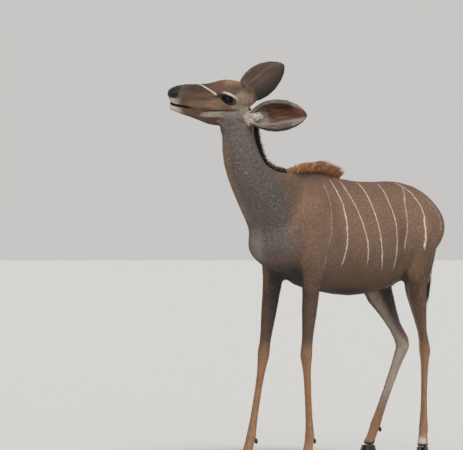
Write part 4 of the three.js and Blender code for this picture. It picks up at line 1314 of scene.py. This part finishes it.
def skin_material():
    """The skin's finish: the coat's colours over the bump of hair that lies flat, with a wet nose."""
    shade = Shade("Skin")
    streak = coat_streak(shade)
    colour = shade.tint(coat_colour(shade), 0.76 + streak * 0.28 + shade.grain(9, 3.0) * 0.22)
    wet = shade.back.rise(0.034, 0.026) * shade.up.rise(-0.016, -0.008)
    height = streak + shade.grain(900, 1.0, (1, 0.4, 0.3)) * 0.5
    return shade.finish(colour, 0.82 - wet * 0.5, shade.bump(height, 0.45, 0.0012), Sheen_Weight=COAT_SHEEN)


def fur_material():
    """The finish of the short tufts: the skin's colours, each tuft a little lighter or darker."""
    shade = Shade("Short coat")
    level = 0.56 + shade.grain(9, 3.0) * 0.22 + coat_streak(shade) * 0.24
    level = level + shade.of_strand("lot") * 0.30 + shade.of_strand("tip") * 0.20
    return shade.finish(shade.tint(coat_colour(shade), level), 0.72, Sheen_Weight=COAT_SHEEN)


def coat_streak(shade):
    """Fine streaks of light and dark along the coat."""
    return shade.grain(210, 3.0, (1, 0.5, 0.36)).rise(0.36, 0.64)


def hair_material(name, dark, pale, share):
    """Long hair: dark strands among pale ones, paler to the tip."""
    shade = Shade(name)
    lot = shade.of_strand("lot")
    paler = (lot + shade.of_strand("tip") * 0.35).rise(share - 0.08, share + 0.08)
    return shade.finish(shade.tint(shade.mix(dark, pale, paler), 0.8 + lot * 0.35), 0.62)


def tail_material():
    """Tail hair: the coat's brown above, white beneath and behind, black at the tip."""
    shade = Shade("Tail hair")
    tints, lot = shade.tints, shade.of_strand("lot")
    under = (shade.y - 0.566 + abs(shade.x) * 0.8).rise(-0.004, -0.012)
    edge = abs(shade.x).rise(0.012, 0.020)
    colour = shade.mix(tints.flank, tints.stripe, under.most(edge) * 0.85)
    colour = shade.mix(colour, tints.dark, (shade.z + lot * 0.05).rise(0.80, 0.74))
    return shade.finish(shade.tint(colour, 0.8 + lot * 0.35), 0.7)


def ear_inside(shade, share, low, fan):
    """The cup's colours: red-brown, grey towards its lower edge, pale near the head and upper edge."""
    tints = shade.tints
    colour = shade.mix(tints.ear_inside, tints.ear_red, (fan * 3 + 0.5).rise(0.2, 0.8) * 0.5)
    colour = shade.mix(colour, tints.ear_grey, (low + fan * 0.7).rise(0.0, 0.55) * 0.8)
    colour = shade.mix(colour, tints.pale, (share + abs(low) * 0.10 + fan * 0.25).rise(0.42, 0.22) * 0.7)
    return shade.mix(colour, tints.pale, (low * -1).rise(0.74, 0.88) * 0.7)


def ear_behind(shade, share, low, fan):
    """The colours of an ear's back: grey-brown in streaks, dark to its lower edge, tan at its root."""
    tints = shade.tints
    streaks = (fan * 2 + 0.5).rise(0.3, 0.9) * low.rise(0.5, -0.5) * 0.8
    colour = shade.mix(tints.ear_back, tints.ear_streak, streaks)
    colour = shade.mix(colour, tints.dark, (low + share * 0.2).rise(0.60, 0.92) * 0.85)
    return shade.mix(colour, tints.rim_tan, share.rise(0.14, 0.02) * 0.6)


def ear_material(ear, name, hair):
    """An ear's finish, or with hair that of its fine hair: share runs to its tip, low to its lower edge."""
    shade = Shade(name)
    tints = shade.tints
    length, face, width = ear_axes(ear)
    root = ear_root(ear)
    reach = shade.place.along(length, root)
    share = reach / EAR_LENGTH
    deep = shade.place.along(face, root)
    half = 0.016 + share * (1.0 - share) * 0.190
    low = shade.place.along(width, root) * ear["turn"] / half
    across = abs(low) * half
    if hair:
        facing = (deep - across * across * 9.0).rise(0.0008, 0.0040)
    else:
        facing = shade.node("ShaderNodeNewGeometry", {}, {}, "Normal").along(face).rise(-0.1, 0.2)
    fan = shade.streaks(reach * 12, low * half * 90, deep * 30, 2.0) - 0.5
    colour = shade.mix(ear_behind(shade, share, low, fan), ear_inside(shade, share, low, fan), facing)
    colour = shade.mix(colour, tints.dark, low.rise(0.74, 0.88) * 0.9)
    colour = shade.mix(colour, tints.dark, share.rise(0.93, 1.0) * 0.6)
    if hair:
        lot = shade.of_strand("lot")
        colour = shade.mix(colour, tints.pale, lot.rise(0.75, 0.95) * share.rise(0.6, 0.2) * facing * 0.6)
        return shade.finish(shade.tint(colour, 0.80 + lot * 0.35), 0.7)
    streak = shade.grain(220, 2.0)
    return shade.finish(shade.tint(colour, 0.85 + streak * 0.3), 0.8, shade.bump(streak, 0.3, 0.001))


def eye_material():
    """A dark, wet eye with a brown iris that barely shows."""
    shade = Shade("Eye")
    colour = shade.mix(shade.tints.pupil, shade.tints.iris, shade.grain(140, 2.0).rise(0.55, 0.8) * 0.4)
    return shade.finish(colour, 0.10, Specular_IOR_Level=0.22)


def lid_material():
    """The bare dark skin of the lids."""
    shade = Shade("Lids")
    grain = shade.grain(500, 2.0)
    return shade.finish(shade.tint(shade.tints.mane_dark, 0.7 + grain * 0.5), 0.6,
                        shade.bump(grain, 0.3, 0.0004), Specular_IOR_Level=0.12)


def hoof_material():
    """Horn of the hooves: black-brown, ringed, worn paler at the foot."""
    shade = Shade("Horn")
    rings = shade.grain(1.0, 2.0, (6, 6, 260))
    colour = shade.mix(shade.tints.horn, shade.tints.horn_worn, shade.z.rise(0.016, 0.0) * 0.7)
    return shade.finish(shade.tint(colour, 0.75 + rings * 0.5), 0.42, shade.bump(rings, 0.25, 0.0006))


def floor_material():
    """A plain pale floor."""
    shade = Shade("Floor")
    return shade.finish(shade.tints.floor, 0.9)


# Pieces of the short coat, each with how much it is wanted at a place
COAT_ZONES = {
    "head": lambda place: head_share(place) > 0.5,
    "neck": lambda place: (head_share(place) <= 0.5) & (place[:, 1] < -0.60) & (place[:, 2] > 0.74),
    "shoulders": lambda place: (place[:, 1] >= -0.60) & (place[:, 1] < -0.32) & (place[:, 2] > 0.74),
    "barrel": lambda place: (place[:, 1] >= -0.32) & (place[:, 1] < -0.06) & (place[:, 2] > 0.6),
    "flanks": lambda place: (place[:, 1] >= -0.06) & (place[:, 1] < 0.20) & (place[:, 2] > 0.6),
    "rump": lambda place: (place[:, 1] >= 0.20) & (place[:, 2] > 0.74),
    "legs": lambda place: (place[:, 2] <= 0.74) & (place[:, 2] > 0.055),
}

# Steps


def amount(count):
    return count


def add_piece(name, mesh, material, nodes=()):
    """Puts a finished mesh into the scene, on the body and in place of CAD nodes."""
    name = name.replace(" ", "_").lower()
    piece = bpy.data.objects.new(name, mesh)
    mesh.name = name
    bpy.context.scene.collection.objects.link(piece)
    mesh.materials.clear()
    mesh.materials.append(material)
    if nodes:
        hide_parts(*nodes)
    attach(piece, "root")
    return piece


# Operators, one for each piece or group


class KUDU_OT_skin(bpy.types.Operator):
    """Make the skin, one surface from the nose to the feet"""
    bl_idname = "kudu.skin"
    bl_label = "Skin"
    bl_options = {"REGISTER", "UNDO"}

    def execute(self, context):
        mesh = make_skin(context.scene.kudu_sizes.skin_face)
        unwrap(add_piece("Skin", mesh, skin_material(), [*FLESH, "tail"]))
        return {"FINISHED"}


class KUDU_OT_eyes(bpy.types.Operator):
    """Make the eyeballs and the rims of their lids"""
    bl_idname = "kudu.eyes"
    bl_label = "Eyes"
    bl_options = {"REGISTER", "UNDO"}

    def execute(self, context):
        glass, rims = eye_material(), lid_material()
        for word, turn in (("left", 1), ("right", -1)):
            add_piece(f"Eye {word}", make_eye(turn), glass, [f"eye_{word}"])
            add_piece(f"Lids {word}", make_lids(turn), rims)
        return {"FINISHED"}


class KUDU_OT_ears(bpy.types.Operator):
    """Make the cups of both ears"""
    bl_idname = "kudu.ears"
    bl_label = "Ears"
    bl_options = {"REGISTER", "UNDO"}

    def execute(self, context):
        for node, ear in EARS.items():
            material = ear_material(ear, f"{node} skin", False)
            add_piece(f"{node} cup", make_ear(ear), material, [node])
        return {"FINISHED"}


class KUDU_OT_hooves(bpy.types.Operator):
    """Make the claws and dew claws of all four feet"""
    bl_idname = "kudu.hooves"
    bl_label = "Hooves"
    bl_options = {"REGISTER", "UNDO"}

    def execute(self, context):
        horn = hoof_material()
        for leg in LEGS:
            add_piece(f"Hooves {leg}", make_hooves(leg), horn, [f"{leg}_{claw}" for claw in CLAWS])
        return {"FINISHED"}


class KUDU_OT_coat(bpy.types.Operator):
    """Grow the short coat of body, legs and head"""
    bl_idname = "kudu.coat"
    bl_label = "Short coat"
    bl_options = {"REGISTER", "UNDO"}

    def execute(self, context):
        sizes = context.scene.kudu_sizes
        surface = Surface(bpy.data.objects["skin"])
        fur = fur_material()
        for seed, (name, wanted) in enumerate(COAT_ZONES.items(), COAT_SEED):
            small = FACE_FUR if name == "head" else 1.0
            tufts = make_tufts(name, surface, amount(sizes.fur_count), wanted,
                               sizes.fur_length * small, sizes.fur_width * small, seed)
            add_piece(f"Coat of {name}", tufts, fur)
        return {"FINISHED"}


class KUDU_OT_long_hair(bpy.types.Operator):
    """Grow the mane, the crest, the tail's hair and the fine hair of the ears"""
    bl_idname = "kudu.long_hair"
    bl_label = "Long hair"
    bl_options = {"REGISTER", "UNDO"}

    def execute(self, context):
        sizes, tints = context.scene.kudu_sizes, context.scene.kudu_colours
        surface = Surface(bpy.data.objects["skin"])
        mane = make_mane(surface, amount(sizes.mane_count), sizes.mane_length, MANE_SEED)
        dark = hair_material("Mane", tints.mane_dark, tints.mane_tip, 1.12)
        add_piece("Mane", mane, dark)
        crest = make_crest(surface, amount(sizes.crest_count), sizes.crest_length, CREST_SEED)
        fair = hair_material("Crest", tints.crest_root, tints.crest_tip, 1.00)
        add_piece("Crest", crest, fair)
        tail = make_tail_hair(surface, amount(sizes.tail_count), TAIL_SEED)
        add_piece("Tail hair", tail, tail_material())
        for seed, (node, ear) in enumerate(EARS.items(), EAR_SEED):
            name = f"Hair of {node.replace('_', ' ')}"
            fringe = make_ear_fringe(ear, surface, amount(sizes.ear_count), seed)
            add_piece(name, fringe, ear_material(ear, name, True))
        return {"FINISHED"}


class KUDU_OT_stage(bpy.types.Operator):
    """Set the floor, the lights and the camera"""
    bl_idname = "kudu.stage"
    bl_label = "Stage"
    bl_options = {"REGISTER", "UNDO"}

    def execute(self, context):
        scene = context.scene
        add_floor(scene)
        add_lights(scene)
        scene.camera = add_camera(scene, scene.kudu_sizes.focal)
        scene.view_settings.view_transform = "Standard"
        return {"FINISHED"}


def add_floor(scene):
    """A round floor, wide enough to fill every view."""
    bm = bmesh.new()
    bmesh.ops.create_circle(bm, cap_ends=True, segments=96, radius=FLOOR_RADIUS)
    mesh = mesh_of(bm, "Floor")
    mesh.materials.append(floor_material())
    floor = bpy.data.objects.new("Floor", mesh)
    scene.collection.objects.link(floor)
    return floor


def add_lights(scene):
    """Soft light from all round and from three lamps."""
    world = bpy.data.worlds.new("Studio")
    world.use_nodes = True
    background = world.node_tree.nodes["Background"].inputs
    background["Color"].default_value = WORLD_COLOUR
    background["Strength"].default_value = WORLD_LIGHT
    scene.world = world
    for name, way, width, strength in LIGHTS:
        light = bpy.data.lights.new(name, "SUN")
        light.energy = strength
        light.angle = math.radians(width)
        lamp = bpy.data.objects.new(name, light)
        lamp.location = Vector(way) * LAMP_DISTANCE
        lamp.rotation_euler = Vector(way).to_track_quat("Z", "Y").to_euler()
        scene.collection.objects.link(lamp)


def add_camera(scene, focal):
    """The camera that stands where the photo was taken from."""
    data = bpy.data.cameras.new("Camera")
    data.sensor_width = 36
    data.lens = focal
    data.clip_end = 100
    camera = bpy.data.objects.new("Camera", data)
    camera.location = CAMERA_PLACE + SHIFT
    camera.rotation_euler = CAMERA_WAY.to_track_quat("-Z", "Y").to_euler()
    scene.collection.objects.link(camera)
    return camera


class KUDU_PT_panel(bpy.types.Panel):
    """The sidebar's list of steps, sizes and colours"""
    bl_idname = "KUDU_PT_panel"
    bl_label = "Greater kudu"
    bl_space_type = "VIEW_3D"
    bl_region_type = "UI"
    bl_category = "Kudu"

    def draw(self, context):
        for step in STEPS:
            self.layout.operator(step.bl_idname)
        for group in (context.scene.kudu_sizes, context.scene.kudu_colours):
            for key in type(group).__annotations__:
                self.layout.prop(group, key)


STEPS = [
    KUDU_OT_skin, KUDU_OT_eyes, KUDU_OT_ears, KUDU_OT_hooves, KUDU_OT_coat, KUDU_OT_long_hair, KUDU_OT_stage,
]
CLASSES = [KuduColours, KuduSizes, *STEPS, KUDU_PT_panel]


def register():
    """Adds the settings, the steps and the panel to Blender."""
    for item in CLASSES:
        bpy.utils.register_class(item)
    bpy.types.Scene.kudu_colours = bpy.props.PointerProperty(type=KuduColours)
    bpy.types.Scene.kudu_sizes = bpy.props.PointerProperty(type=KuduSizes)


def unregister():
    """Takes them away again."""
    del bpy.types.Scene.kudu_sizes
    del bpy.types.Scene.kudu_colours
    for item in reversed(CLASSES):
        bpy.utils.unregister_class(item)


def main():
    """Builds the whole model."""
    register()
    bpy.ops.kudu.skin()
    bpy.ops.kudu.eyes()
    bpy.ops.kudu.ears()
    bpy.ops.kudu.hooves()
    bpy.ops.kudu.coat()
    bpy.ops.kudu.long_hair()
    bpy.ops.kudu.stage()


if __name__ == "__main__":
    main()
